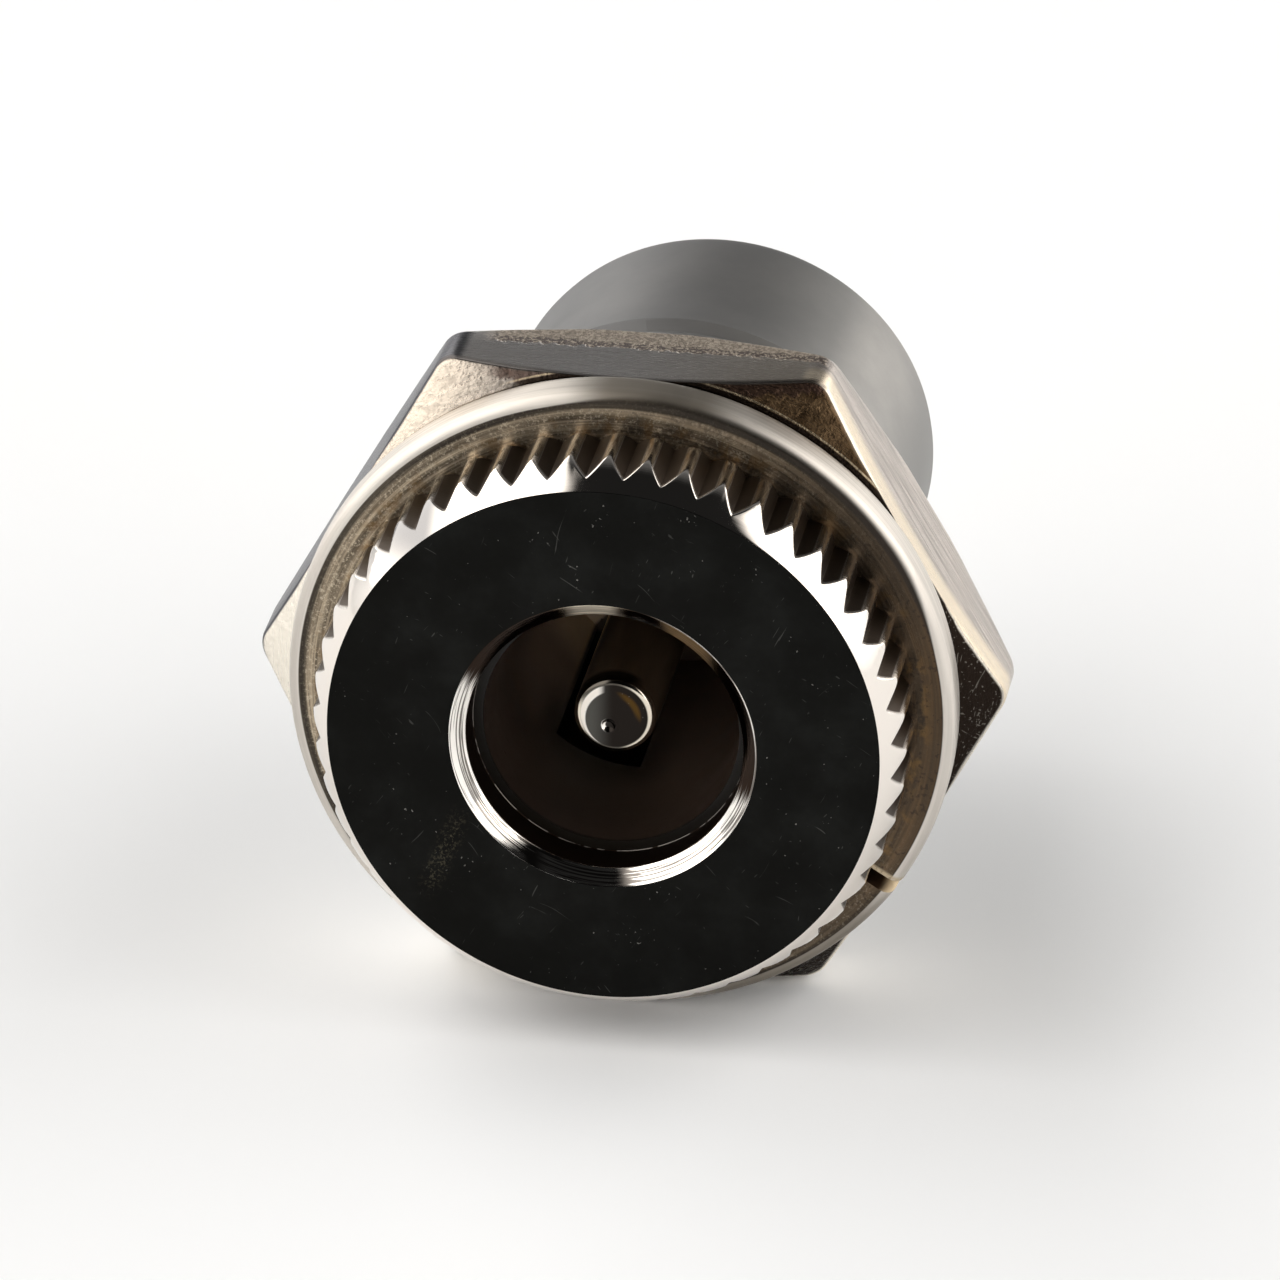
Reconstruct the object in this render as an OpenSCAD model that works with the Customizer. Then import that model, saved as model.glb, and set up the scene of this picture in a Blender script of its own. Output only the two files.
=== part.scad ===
// Panel-mount DC power socket for barrel plugs.
// A turned metal shell has a knurled head, a threaded barrel and a smooth tail. A moulded core in it
// holds the centre pin and the sleeve contact. A split lock washer and a hexagon nut clamp the panel.
// The socket is drawn standing face up, with the panel seat at z = 0, and is then tipped forwards,
// so that the plug enters from -Y. Angles run from +X towards +Z, as seen from the front.

/* [Head] */
// Diameter over the crests of the knurl
head_d = 14.35; // [13.4:0.05:17]
// Thickness of the head, from the panel seat to the front face
head_t = 2.45; // [1.8:0.05:4]
// Width of the rounded front edge, across the face
edge_w = 0.52; // [0.3:0.02:0.8]
// Length of the rounded front edge, along the axis
edge_l = 0.96; // [0.5:0.02:1.4]
// How far the front edge bulges out of a straight bevel
edge_bulge = 0.08; // [0.02:0.01:0.15]
// Bevel on the back edge of the head
back_bevel = 0.15; // [0.05:0.05:0.4]
// Number of knurl grooves round the head
knurl_count = 48; // [36:1:54]
// Depth of a knurl groove
knurl_depth = 0.29; // [0.1:0.01:0.35]
// Included angle of a knurl groove
knurl_angle = 110; // [70:1:112]
// Angle of the first knurl groove
knurl_turn = 3.7; // [0:0.1:10]

/* [Mouth] */
// Diameter of the metal lip that guides the plug
mouth_d = 6.68; // [6.2:0.02:7.2]
// Width of the mouth's bevel, across the face
mouth_bevel_w = 0.37; // [0.1:0.01:0.6]
// Depth of the mouth's bevel, along the axis
mouth_bevel_l = 0.3; // [0.1:0.02:0.6]
// Length of the lip, from the front face to the core
lip_l = 1.22; // [0.8:0.02:1.6]

/* [Barrel] */
// Outer diameter of the thread
thread_d = 12; // [11.6:0.1:12.8]
// Pitch of the thread
thread_pitch = 1; // [0.5:0.25:1.25]
// Plain stretch between the panel seat and the thread
relief_l = 1; // [0.4:0.1:1.5]
// Length of the barrel, from the panel seat to the shoulder of the tail
barrel_l = 10.1; // [8:0.1:14]
// Length of the smooth tail behind the barrel
tail_l = 5.75; // [4:0.05:9]
// Step from the root of the thread down to the tail
tail_step = 0.05; // [0.02:0.01:0.2]
// Wall of the shell at the tail
shell_wall = 0.8; // [0.5:0.05:1.1]
// Thickness of the tail's rim, which is rolled in over the core
rim_t = 0.5; // [0.3:0.05:1]
// How far the rolled rim overlaps the core
rim_grip = 0.3; // [0.1:0.05:0.5]

/* [Core] */
// Diameter of the bore that takes the plug
plug_bore_d = 6.2; // [5.8:0.05:6.6]
// Depth of that bore, from the back of the lip
plug_depth = 10.2; // [8:0.1:11.5]
// Angle of the contact slot
slot_angle = 250; // [0:1:359]
// Wall of the core outside the contact slot
slot_wall = 0.4; // [0.2:0.05:0.6]

/* [Centre pin] */
// Diameter of the pin
pin_d = 2; // [1.6:0.05:2.5]
// How far the tip stands back from the front face
tip_recess = 1.7; // [1.3:0.05:4]
// Radius of the rounded tip
tip_round = 0.31; // [0.1:0.01:0.45]
// Diameter of the turning dimple in the tip
dimple_d = 0.5; // [0.2:0.05:0.6]
// Depth of the turning dimple
dimple_depth = 0.12; // [0.05:0.01:0.25]
// Diameter of the flange that seats on the floor of the bore
flange_d = 3.4; // [3:0.1:4]
// Thickness of that flange
flange_t = 0.6; // [0.3:0.05:1]
// Diameter of the stem that passes through the core
stem_d = 1.5; // [1:0.05:1.55]
// Diameter of the riveted end of the stem
rivet_d = 2.3; // [1.9:0.05:2.5]
// Height of the riveted end
rivet_h = 0.4; // [0.2:0.05:0.8]

/* [Contacts] */
// Thickness of the contact strip
strip_t = 0.3; // [0.2:0.02:0.4]
// Width of the sleeve spring
leaf_w = 1.7; // [1.2:0.05:1.8]
// Length of the sprung leaf in front of the floor of the bore
leaf_l = 5.5; // [4:0.1:7]
// Diameter that the leaf closes to at its crown
contact_d = 5.3; // [4.8:0.05:5.4]
// How far the solder lugs stand out of the tail
lug_l = 4.4; // [3:0.1:8]
// Width of the centre lug
lug_w = 2.2; // [2:0.05:2.6]
// Distance of the centre lug's blade from the axis
lug_offset = 1.75; // [1.6:0.05:2.4]
// Inner radius of the lug's fold
fold_r = 0.25; // [0.1:0.05:0.35]
// Diameter of the wire eye in each lug
eye_d = 1.1; // [0.6:0.05:1.2]

/* [Lock washer] */
// How far the ring stands out past the flats of the nut
washer_proud = 0.15; // [-0.3:0.05:0.6]
// Thickness of the ring
washer_t = 1.2; // [0.8:0.05:2]
// Radius of the rounded rim
washer_round = 0.32; // [0.1:0.02:0.38]
// Angle of the split
split_angle = 328; // [0:1:359]
// Width of the split
split_w = 0.35; // [0.2:0.05:1]
// Slant of the split across the thickness
split_slant = 25; // [0:1:40]

/* [Nut] */
// Width across the flats
nut_af = 15.9; // [15:0.1:20]
// Thickness of the nut
nut_t = 2.75; // [2:0.05:5]
// Radius of the rounded corners
corner_r = 0.6; // [0.2:0.05:1.5]
// Slope of the chamfers
chamfer_angle = 30; // [15:1:40]
// How far the chamfer starts outside the flats
chamfer_start = 0.1; // [0:0.05:0.4]
// Bevel at both ends of the bore
bore_bevel = 0.35; // [0.1:0.05:0.6]

/* [Clearances] */
// Space between the core, the pin and the contacts and what holds them
fit_gap = 0.03; // [0.01:0.01:0.06]
// Space between faces that seat on each other
seat_gap = 0.02; // [0.01:0.01:0.05]
// Space behind the leaf for its bend
leaf_room = 0.15; // [0.05:0.01:0.25]
// Space at each side of the leaf in its slot
leaf_side_room = 0.25; // [0.1:0.05:0.4]
// Space in the slot in front of the leaf's tip
leaf_tip_room = 0.6; // [0.2:0.1:1.5]
// Depth of the slot behind the floor of the bore, where the leaf's root bends
leaf_root_room = 0.3; // [0.1:0.05:0.8]
// Space between the thread's crests and the nut
thread_gap = 0.05; // [0.02:0.01:0.1]
// Space between the thread's crests and the washer
washer_gap = 0.15; // [0.05:0.05:0.5]
// Space between the head, the washer and the nut
stack_gap = 0.03; // [0.01:0.01:0.1]

/* [Hidden] */
$fn = 96;
// Overshoot of every cut past the solid it opens
cut = 1;
// Straight steps in a short rounded edge
edge_steps = 4;
// Straight steps along the sprung leaf
leaf_steps = 16;
// Radii of the shell
head_r = head_d / 2;
face_r = head_r - edge_w;
knurl_root_r = head_r - knurl_depth;
mouth_r = mouth_d / 2;
thread_r = thread_d / 2;
// A metric thread is five eighths as deep as its full triangle
thread_depth = thread_pitch * cos(30) * 5 / 8;
thread_root_r = thread_r - thread_depth;
thread_flank = thread_depth * tan(30);
thread_crest = thread_pitch / 8;
thread_turns = floor((barrel_l - relief_l) / thread_pitch);
tail_r = thread_root_r - tail_step;
cavity_r = tail_r - shell_wall;
core_r = cavity_r - fit_gap;
rim_r = core_r - rim_grip;
// Heights, with the panel seat at zero and the front face up
lip_back = head_t - lip_l;
core_front = lip_back - seat_gap;
bore_floor = lip_back - plug_depth;
barrel_end = -barrel_l;
tail_end = barrel_end - tail_l;
rim_front = tail_end + rim_t;
core_back = rim_front + seat_gap;
lug_end = tail_end - lug_l;
// Centre pin and what it is riveted to
pin_r = pin_d / 2;
tip_z = head_t - tip_recess;
flange_back = bore_floor + seat_gap;
plate_front = core_back - seat_gap;
plate_back = plate_front - strip_t;
rivet_front = plate_back - seat_gap;
// Sleeve spring: radius of its straight stretch and of its crown, at the middle of the strip
plug_bore_r = plug_bore_d / 2;
slot_r = core_r - slot_wall;
leaf_seat_r = slot_r - leaf_room - strip_t / 2;
leaf_crown_r = contact_d / 2 + strip_t / 2;
slot_w = leaf_w + 2 * leaf_side_room;
slot_floor = bore_floor - leaf_root_room;
slot_front = bore_floor + leaf_l + leaf_tip_room;
// The centre lug stands opposite the sleeve spring
lug_angle = slot_angle + 180;
// Washer and nut, stacked behind the panel seat
nut_flat = nut_af / 2;
washer_in_r = thread_r + washer_gap;
washer_out_r = nut_flat + washer_proud;
washer_front = -stack_gap;
washer_back = washer_front - washer_t;
nut_front = washer_back - stack_gap;
nut_back = nut_front - nut_t;
nut_bore_r = thread_r + thread_gap;
chamfer_r = nut_flat + chamfer_start;
chamfer_run = nut_flat / cos(30) - chamfer_r;
chamfer_drop = chamfer_run * tan(chamfer_angle);

// Points of a round edge about a centre, between two angles
function arc(centre, r, from, to) =
    [for (i = [0 : edge_steps]) let (a = from + (to - from) * i / edge_steps)
        centre + r * [cos(a), sin(a)]];

// Points from a to b along a shallow parabola that bulges to the left of that line
function crowned(a, b, bulge) =
    [for (i = [0 : edge_steps]) let (t = i / edge_steps, d = b - a)
        a + d * t + 4 * bulge * t * (1 - t) * [-d[1], d[0]] / norm(d)];

// Half profile of the thread's ridges, from the seat backwards
function thread_profile() =
    [for (i = [0 : thread_turns - 1]) let (z = -relief_l - i * thread_pitch) each [
        [thread_root_r, z],
        [thread_r, z - thread_flank],
        [thread_r, z - thread_flank - thread_crest],
        [thread_root_r, z - 2 * thread_flank - thread_crest]]];

// Tips a piece that is drawn face up forwards, so that it faces -Y
module tipped() {
    rotate([90, 0, 0])
        children();
}

// A round bar between two heights
module bar(r, from, to) {
    translate([0, 0, min(from, to)])
        cylinder(r = r, h = abs(to - from));
}

module knurl_grooves() {
    groove_out_r = head_r + knurl_depth;
    groove_half = (groove_out_r - knurl_root_r) * tan(knurl_angle / 2);
    for (i = [0 : knurl_count - 1])
        rotate([0, 0, knurl_turn + i * 360 / knurl_count])
            translate([0, 0, -cut])
                linear_extrude(head_t + 2 * cut)
                    polygon([[knurl_root_r, 0], [groove_out_r, -groove_half], [groove_out_r, groove_half]]);
}

module shell_profile() {
    polygon(concat(
        [[mouth_r + mouth_bevel_w, head_t]],
        crowned([face_r, head_t], [head_r, head_t - edge_l], edge_bulge),
        [[head_r, back_bevel], [head_r - back_bevel, 0], [thread_root_r, 0]],
        thread_profile(),
        [[thread_root_r, barrel_end], [tail_r, barrel_end]],
        arc([tail_r - rim_t, tail_end + rim_t], rim_t, 0, -90),
        [[rim_r, tail_end], [rim_r, rim_front], [cavity_r, rim_front]],
        [[cavity_r, lip_back], [mouth_r, lip_back], [mouth_r, head_t - mouth_bevel_l]]
    ));
}

module shell() {
    color("silver")
        tipped()
            difference() {
                rotate_extrude()
                    shell_profile();
                knurl_grooves();
            }
}

// The open channel in the bore's wall, and the close passage through the base behind it
module contact_slot() {
    slot_in_r = contact_d / 2;
    passage_w = leaf_w + 2 * fit_gap;
    passage_t = strip_t + 2 * fit_gap;
    rotate([0, 0, slot_angle]) {
        translate([slot_in_r, -slot_w / 2, slot_floor])
            cube([slot_r - slot_in_r, slot_w, slot_front - slot_floor]);
        translate([leaf_seat_r - passage_t / 2, -passage_w / 2, core_back - cut])
            cube([passage_t, passage_w, slot_floor - core_back + 2 * cut]);
    }
}

module core() {
    color([0.07, 0.06, 0.05])
        tipped()
            difference() {
                bar(core_r, core_back, core_front);
                bar(plug_bore_r, bore_floor, core_front + cut);
                bar(stem_d / 2 + fit_gap, core_back - cut, bore_floor + cut);
                contact_slot();
            }
}

module centre_pin() {
    color("silver")
        tipped()
            rotate_extrude()
                polygon(concat(
                    [[0, tip_z - dimple_depth], [dimple_d / 2, tip_z]],
                    arc([pin_r - tip_round, tip_z - tip_round], tip_round, 90, 0),
                    [[pin_r, flange_back + flange_t], [flange_d / 2, flange_back + flange_t]],
                    [[flange_d / 2, flange_back], [stem_d / 2, flange_back], [stem_d / 2, rivet_front]],
                    [[rivet_d / 2, rivet_front], [rivet_d / 2, rivet_front - rivet_h / 2]],
                    [[stem_d / 2, rivet_front - rivet_h], [0, rivet_front - rivet_h]]
                ));
}

// Outline of a solder blade from the height `top` down to its round end, with its wire eye
module blade(width, top) {
    difference() {
        union() {
            translate([-width / 2, lug_end + width / 2])
                square([width, top - lug_end - width / 2]);
            translate([0, lug_end + width / 2])
                circle(d = width);
        }
        translate([0, lug_end + width / 2])
            circle(d = eye_d);
    }
}

// Stands a flat outline up against a radius, with its thickness outwards
module stand_at(r) {
    translate([r, 0, 0])
        rotate([90, 0, 90])
            linear_extrude(strip_t)
                children();
}

// The strip's quarter bend between the plate and the blade of the centre lug
module lug_fold(centre) {
    translate([centre[0], lug_w / 2, centre[1]])
        rotate([90, 0, 0])
            linear_extrude(lug_w)
                intersection() {
                    difference() {
                        circle(r = fold_r + strip_t);
                        circle(r = fold_r);
                    }
                    square(fold_r + strip_t);
                }
}

module centre_lug() {
    fold_centre = [lug_offset - fold_r, plate_back - fold_r];
    color("silver")
        tipped()
            rotate([0, 0, lug_angle]) {
                difference() {
                    translate([-lug_w / 2, -lug_w / 2, plate_back])
                        cube([lug_w / 2 + fold_centre[0], lug_w, strip_t]);
                    bar(stem_d / 2 + fit_gap, plate_back - cut, plate_front + cut);
                }
                lug_fold(fold_centre);
                stand_at(lug_offset)
                    blade(lug_w, fold_centre[1]);
            }
}

// Radius of the leaf's middle at a share t of its way forward: out at both ends, in at the crown
function leaf_r(t) = leaf_seat_r - (leaf_seat_r - leaf_crown_r) * (1 - cos(360 * t)) / 2;

module leaf_profile() {
    half = strip_t / 2;
    shares = [for (i = [0 : leaf_steps]) i / leaf_steps];
    outer = [for (t = shares) [leaf_r(t) + half, bore_floor + leaf_l * t]];
    inner = [for (t = shares) [leaf_r(1 - t) - half, bore_floor + leaf_l * (1 - t)]];
    polygon(concat(outer, inner));
}

module sleeve_spring() {
    color("silver")
        tipped()
            rotate([0, 0, slot_angle]) {
                translate([0, leaf_w / 2, 0])
                    rotate([90, 0, 0])
                        linear_extrude(leaf_w)
                            leaf_profile();
                stand_at(leaf_seat_r - strip_t / 2)
                    blade(leaf_w, bore_floor);
            }
}

module washer_profile() {
    round_r = washer_out_r - washer_round;
    polygon(concat(
        [[washer_in_r, washer_back], [washer_in_r, washer_front]],
        arc([round_r, washer_front - washer_round], washer_round, 90, 0),
        arc([round_r, washer_back + washer_round], washer_round, 0, -90)
    ));
}

module lock_washer() {
    color("tan")
        tipped()
            difference() {
                rotate_extrude()
                    washer_profile();
                rotate([0, 0, split_angle])
                    translate([0, 0, (washer_front + washer_back) / 2])
                        rotate([split_slant, 0, 0])
                            translate([0, -split_w / 2, -washer_t - cut])
                                cube([washer_out_r + cut, split_w, 2 * (washer_t + cut)]);
            }
}

// Hexagon with flats at top and bottom and round corners
module nut_outline() {
    inner_corner = (nut_flat - corner_r) / cos(30);
    polygon([for (a = [0 : 60 : 300]) each
        arc(inner_corner * [cos(a), sin(a)], corner_r, a - 30, a + 30)]);
}

module hex_nut() {
    corner_out_r = chamfer_r + chamfer_run;
    color("silver")
        tipped()
            difference() {
                intersection() {
                    translate([0, 0, nut_back])
                        linear_extrude(nut_t)
                            nut_outline();
                    rotate_extrude()
                        polygon([
                            [0, nut_back], [chamfer_r, nut_back], [corner_out_r, nut_back + chamfer_drop],
                            [corner_out_r, nut_front - chamfer_drop], [chamfer_r, nut_front], [0, nut_front]
                        ]);
                }
                rotate_extrude()
                    polygon([
                        [0, nut_back - cut], [nut_bore_r + bore_bevel + cut, nut_back - cut],
                        [nut_bore_r, nut_back + bore_bevel], [nut_bore_r, nut_front - bore_bevel],
                        [nut_bore_r + bore_bevel + cut, nut_front + cut], [0, nut_front + cut]
                    ]);
            }
}

shell();
core();
centre_pin();
centre_lug();
sleeve_spring();
lock_washer();
hex_nut();
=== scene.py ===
# %% [markdown]
# # A panel-mount power socket
# The socket is a turned metal shell with a knurled head, a threaded barrel and a smooth tail. A moulded
# core in it holds the centre pin and the sleeve contact, and a split washer and a hexagon nut clamp the
# panel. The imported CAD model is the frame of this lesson: it says where each piece is and how large it
# is. The pieces that catch the light are made again here as smooth numpy surfaces with soft edges, a
# true helical thread and crisp knurling, and every piece then gets a finish made of shader nodes.

# %% Load the frame and keep its box
from functools import partialmethod

import bpy
import numpy as np
from mathutils import Matrix, Vector


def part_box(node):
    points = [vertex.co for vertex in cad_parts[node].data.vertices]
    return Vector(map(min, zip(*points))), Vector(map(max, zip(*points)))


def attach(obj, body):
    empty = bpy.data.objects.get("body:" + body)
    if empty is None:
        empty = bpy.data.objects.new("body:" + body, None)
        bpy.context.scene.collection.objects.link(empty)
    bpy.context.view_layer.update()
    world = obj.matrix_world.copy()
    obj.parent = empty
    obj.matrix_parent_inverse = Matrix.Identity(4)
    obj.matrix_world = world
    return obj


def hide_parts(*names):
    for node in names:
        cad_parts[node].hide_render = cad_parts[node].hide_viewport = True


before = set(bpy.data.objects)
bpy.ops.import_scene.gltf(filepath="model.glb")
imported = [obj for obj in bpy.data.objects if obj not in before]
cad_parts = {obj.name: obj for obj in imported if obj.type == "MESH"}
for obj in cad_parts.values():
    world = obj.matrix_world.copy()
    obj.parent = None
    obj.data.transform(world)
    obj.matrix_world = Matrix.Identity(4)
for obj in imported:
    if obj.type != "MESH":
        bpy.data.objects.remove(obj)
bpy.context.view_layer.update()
MM = 0.001


def box_mm(node):
    """Lowest and highest corner of a CAD node, in millimetres."""
    low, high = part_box(node)
    return np.array(low) / MM, np.array(high) / MM


shell_low, shell_high = box_mm("shell")
washer_low, washer_high = box_mm("lock_washer")
nut_low, nut_high = box_mm("hex_nut")
pin_low, pin_high = box_mm("centre_pin")
core_low, _ = box_mm("core")
print("nodes in the frame:", sorted(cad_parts))

# %% [markdown]
# ## The camera
# The photograph was taken from close by, a little from the right and well from above. A long lens far
# away gives the same flat perspective. The camera could be aimed with a Track To constraint, but here
# its three axes are worked out from the two viewing angles, so nothing is left to solve. The front
# face's centre is then slid in the picture by two small offsets.

# %% Aim the camera
PHOTO_PX = 1280
FOCAL_PX = 12000
VIEW_AZIMUTH = np.radians(9.35)
VIEW_ELEVATION = np.radians(25.51)
VIEW_DISTANCE = 285.04
FACE_RIGHT = -0.8954
FACE_UP = -2.5424
SENSOR_MM = 36

face_y = shell_low[1]
face_centre = np.array([0, face_y, 0])
sin_a, cos_a = np.sin(VIEW_AZIMUTH), np.cos(VIEW_AZIMUTH)
sin_e, cos_e = np.sin(VIEW_ELEVATION), np.cos(VIEW_ELEVATION)
to_right = np.array([cos_a, sin_a, 0])
to_top = np.array([-sin_a * sin_e, cos_a * sin_e, cos_e])
to_back = np.array([sin_a * cos_e, -cos_a * cos_e, sin_e])
camera_place = face_centre - FACE_RIGHT * to_right - FACE_UP * to_top + VIEW_DISTANCE * to_back

camera_data = bpy.data.cameras.new("photo_camera")
camera_data.sensor_width = SENSOR_MM
camera_data.lens = SENSOR_MM * FOCAL_PX / PHOTO_PX
camera_data.clip_start = 10 * MM
camera = bpy.data.objects.new("photo_camera", camera_data)
camera_axes = Matrix([to_right, to_top, to_back]).transposed().to_4x4()
camera.matrix_world = Matrix.Translation(Vector(camera_place * MM)) @ camera_axes
bpy.context.scene.collection.objects.link(camera)
bpy.context.scene.camera = camera
print("camera at", np.round(camera_place, 1), "mm with a lens of", camera_data.lens, "mm")

# %% [markdown]
# ## Helpers for turned pieces
# Almost every piece here is a closed outline carried round the Y axis. An outline drawn with hard
# corners looks like a drawing: a real edge is always a little round, and that is where light catches.
# A Bevel modifier could round the edges, but on fine knurling it overlaps itself. Instead, each corner
# of the outline is replaced by a short parabola before the outline is carried round. The surface is
# then a grid of vertex numbers, and one function skins any such grid with triangles. Two more close a
# grid, round the axis or along the outline.

# %% Soft corners, sweeping, numbering and skinning
MOST_OF_SIDE = 0.45
NO_LENGTH = 1e-9


def soft_corners(corners, steps=4):
    """Rounds the corners of an outline, which are pairs: radius and height, for one column or for many,
    and a width. A corner C with a width w becomes the parabola (1-t)^2 A + 2 t (1-t) C + t^2 B, where A
    and B lie w away from C on its two sides, or nearer on a short side. Any further values blend along.
    A corner with no width stays a point."""
    outline = np.array([row for row, _ in corners])
    rows = []
    for number, (_, width) in enumerate(corners):
        corner = outline[number]
        if width == 0:
            rows.append(corner)
            continue
        sides = []
        for neighbour in (outline[number - 1], outline[(number + 1) % len(outline)]):
            side = neighbour - corner
            length = np.linalg.norm(side[..., :2], axis=-1, keepdims=True)
            sides.append(corner + side * np.minimum(width / np.maximum(length, NO_LENGTH), MOST_OF_SIDE))
        for t in np.linspace(0, 1, steps):
            rows.append((1 - t) ** 2 * sides[0] + 2 * t * (1 - t) * corner + t ** 2 * sides[1])
    return np.array(rows)


def carry_round(rows, angles):
    """Points (r cos a, height, r sin a) for rows of (radius, height) at each column's angle."""
    radius, height = np.broadcast_arrays(rows[..., 0], rows[..., 1])
    angles = np.broadcast_to(angles, np.broadcast_shapes(radius.shape, np.shape(angles)))
    radius, height = np.broadcast_to(radius, angles.shape), np.broadcast_to(height, angles.shape)
    return np.stack([radius * np.cos(angles), height, radius * np.sin(angles)], axis=-1)


def numbered(grid):
    """The vertex numbers of a grid of points, row by row."""
    return np.arange(grid[..., 0].size).reshape(grid.shape[:2])


def skin(numbers):
    """Triangles over a grid of vertex numbers, two to a cell.
    Where neighbours share a number, the cell pinches, and the triangle without area drops out."""
    a, b, c, d = numbers[:-1, :-1], numbers[:-1, 1:], numbers[1:, 1:], numbers[1:, :-1]
    halves = [np.stack(half, axis=-1).reshape(-1, 3) for half in ((a, b, c), (a, c, d))]
    faces = np.concatenate(halves)
    whole = (faces != np.roll(faces, 1, axis=1)).all(axis=1)
    return faces[whole]


def closed_columns(numbers):
    """The same grid with its first column again at the end, so that it closes round the axis."""
    return np.hstack([numbers, numbers[:, :1]])


def closed_rows(numbers):
    """The same grid with its first row again at the end, so that the outline closes."""
    return np.vstack([numbers, numbers[:1]])


# %% [markdown]
# A mesh can be filled vertex by vertex, but whole arrays are far quicker: foreach_set copies them in
# one step. The signed volume of the triangles says whether they face outwards, and they are turned
# round if they don't. Edges sharper than a set angle are marked sharp, so the rest shades smoothly.

# %% Arrays into a mesh
SHARP_DEG = 32


def make_piece(name, points, faces, body, node, slot, **marks):
    """A mesh object at the origin, from points in millimetres and triangles, in place of a CAD node.
    Each mark is a number for every point or every triangle, which a finish can read by its name."""
    corners = points[faces]
    volume = (corners[:, 0] * np.cross(corners[:, 1], corners[:, 2])).sum() / 6
    if volume < 0:
        faces = faces[:, ::-1]
    mesh = bpy.data.meshes.new(name)
    mesh.vertices.add(len(points))
    mesh.vertices.foreach_set("co", np.ascontiguousarray(points * MM, dtype=np.float32).ravel())
    mesh.loops.add(faces.size)
    mesh.loops.foreach_set("vertex_index", np.ascontiguousarray(faces, dtype=np.int32).ravel())
    mesh.polygons.add(len(faces))
    mesh.polygons.foreach_set("loop_start", np.arange(0, faces.size, 3, dtype=np.int32))
    mesh.update(calc_edges=True)
    mesh.set_sharp_from_angle(angle=np.radians(SHARP_DEG))
    for label, values in marks.items():
        domain = "POINT" if len(values) == len(points) else "FACE"
        mark = mesh.attributes.new(label, "FLOAT", domain)
        mark.data.foreach_set("value", np.ascontiguousarray(values, dtype=np.float32))
    piece = bpy.data.objects.new(name, mesh)
    bpy.context.scene.collection.objects.link(piece)
    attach(piece, body)
    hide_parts(node)
    print(f"{name}: {len(points)} points, {len(faces)} triangles, {abs(volume):.1f} mm3")
    return piece


# %% [markdown]
# ## The knurled head
# A knurl is a row of V grooves round the head, pressed or cut along the axis, so that fingers can hold
# it. It could be cut with a Boolean modifier and an array of wedges, but that leaves ragged normals.
# Here the radius of the rim is written as a function of the angle: the straight wall of the V where
# that is lower, and the crest elsewhere. The columns of the grid are set to fall on the roots, walls
# and crests of all the grooves, so each edge is crisp.

# %% Columns of the shell, and the rim's radius at each
HEAD_R = 7.175
KNURL_COUNT = 48
KNURL_DEPTH = 0.29
KNURL_HALF_ANGLE = np.radians(55)
KNURL_TURN = np.radians(3.7)
KNURL_SOFT = 0.035
GROOVE_SHARES = np.array([0, 0.03, 0.09, 0.2, 0.31, 0.4, 0.47, 0.53, 0.6, 0.69, 0.8, 0.91, 0.97])

groove_pitch = 2 * np.pi / KNURL_COUNT
shares = (np.arange(KNURL_COUNT)[:, None] + GROOVE_SHARES).ravel()
shell_angles = KNURL_TURN + shares * groove_pitch
columns = len(shell_angles)


def rim_radius(angle):
    """Radius of the knurled rim: root tan(h) / (cos a tan(h) - sin a) on the wall of a groove, with h
    half the groove's angle and a the angle from its middle, and the crest where that is lower. The
    root and the crest are rounded by taking a square root where a corner would be."""
    from_middle = (angle - KNURL_TURN + groove_pitch / 2) % groove_pitch - groove_pitch / 2
    root = HEAD_R - KNURL_DEPTH
    soft = KNURL_SOFT / HEAD_R
    a = np.sqrt(from_middle ** 2 + soft ** 2 / 4) - soft / 4
    wall = root * np.tan(KNURL_HALF_ANGLE) / (np.cos(a) * np.tan(KNURL_HALF_ANGLE) - np.sin(a))
    return (wall + HEAD_R - np.sqrt((wall - HEAD_R) ** 2 + KNURL_SOFT ** 2)) / 2


rim = rim_radius(shell_angles)
print(f"{columns} columns, rim from {rim.min():.3f} to {rim.max():.3f} mm")

# %% [markdown]
# The front edge of the head is crowned: it leaves the flat face at 45 degrees and curves back to the
# rim. Each column follows that crown only as far as its own rim radius, and then runs straight back.
# That gives the row of fangs which the grooves cut into the bright edge. Besides its radius and height,
# each row carries a mark of 1 where it lies on the wall of a groove. The finish later tells the brown
# grooves from the bright edge by it. Each corner of the outline comes with the width of its rounding.

# %% Outline of the shell in front of the thread
FACE_R = 6.655
CROWN_L = 0.96
CROWN_BULGE = 0.08
CROWN_ROWS = 9
CREST_ROOM = 0.03
FANG_EDGE = 0.07
FANG_BACK = 0.161
ROW_GAP = 0.01
MOUTH_R = 3.34
MOUTH_BEVEL_W = 0.37
MOUTH_BEVEL_L = 0.3
LIP_L = 1.22
BURR = 0.018
BACK_BEVEL = 0.15
ROOT_R = 5.459
RELIEF_L = 1.0


def crown_height(radius):
    """How far behind the face the crown has reached a radius. The crown is the chord from the face to
    the crest plus a parabola across it, so its share t of the way solves a quadratic in the radius."""
    width = HEAD_R - FACE_R
    chord = np.hypot(width, CROWN_L)
    out = 4 * CROWN_BULGE * CROWN_L / chord
    ahead = 4 * CROWN_BULGE * width / chord
    rise = width + out
    t = (rise - np.sqrt(rise ** 2 - 4 * out * (radius - FACE_R))) / (2 * out)
    return CROWN_L * t - ahead * t * (1 - t)


def ring(radius, height, groove=0):
    """One row of the outline: a radius, a height and a groove mark for every column."""
    return np.stack([np.broadcast_to(part, columns) for part in (radius, height, groove)], axis=-1)


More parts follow.
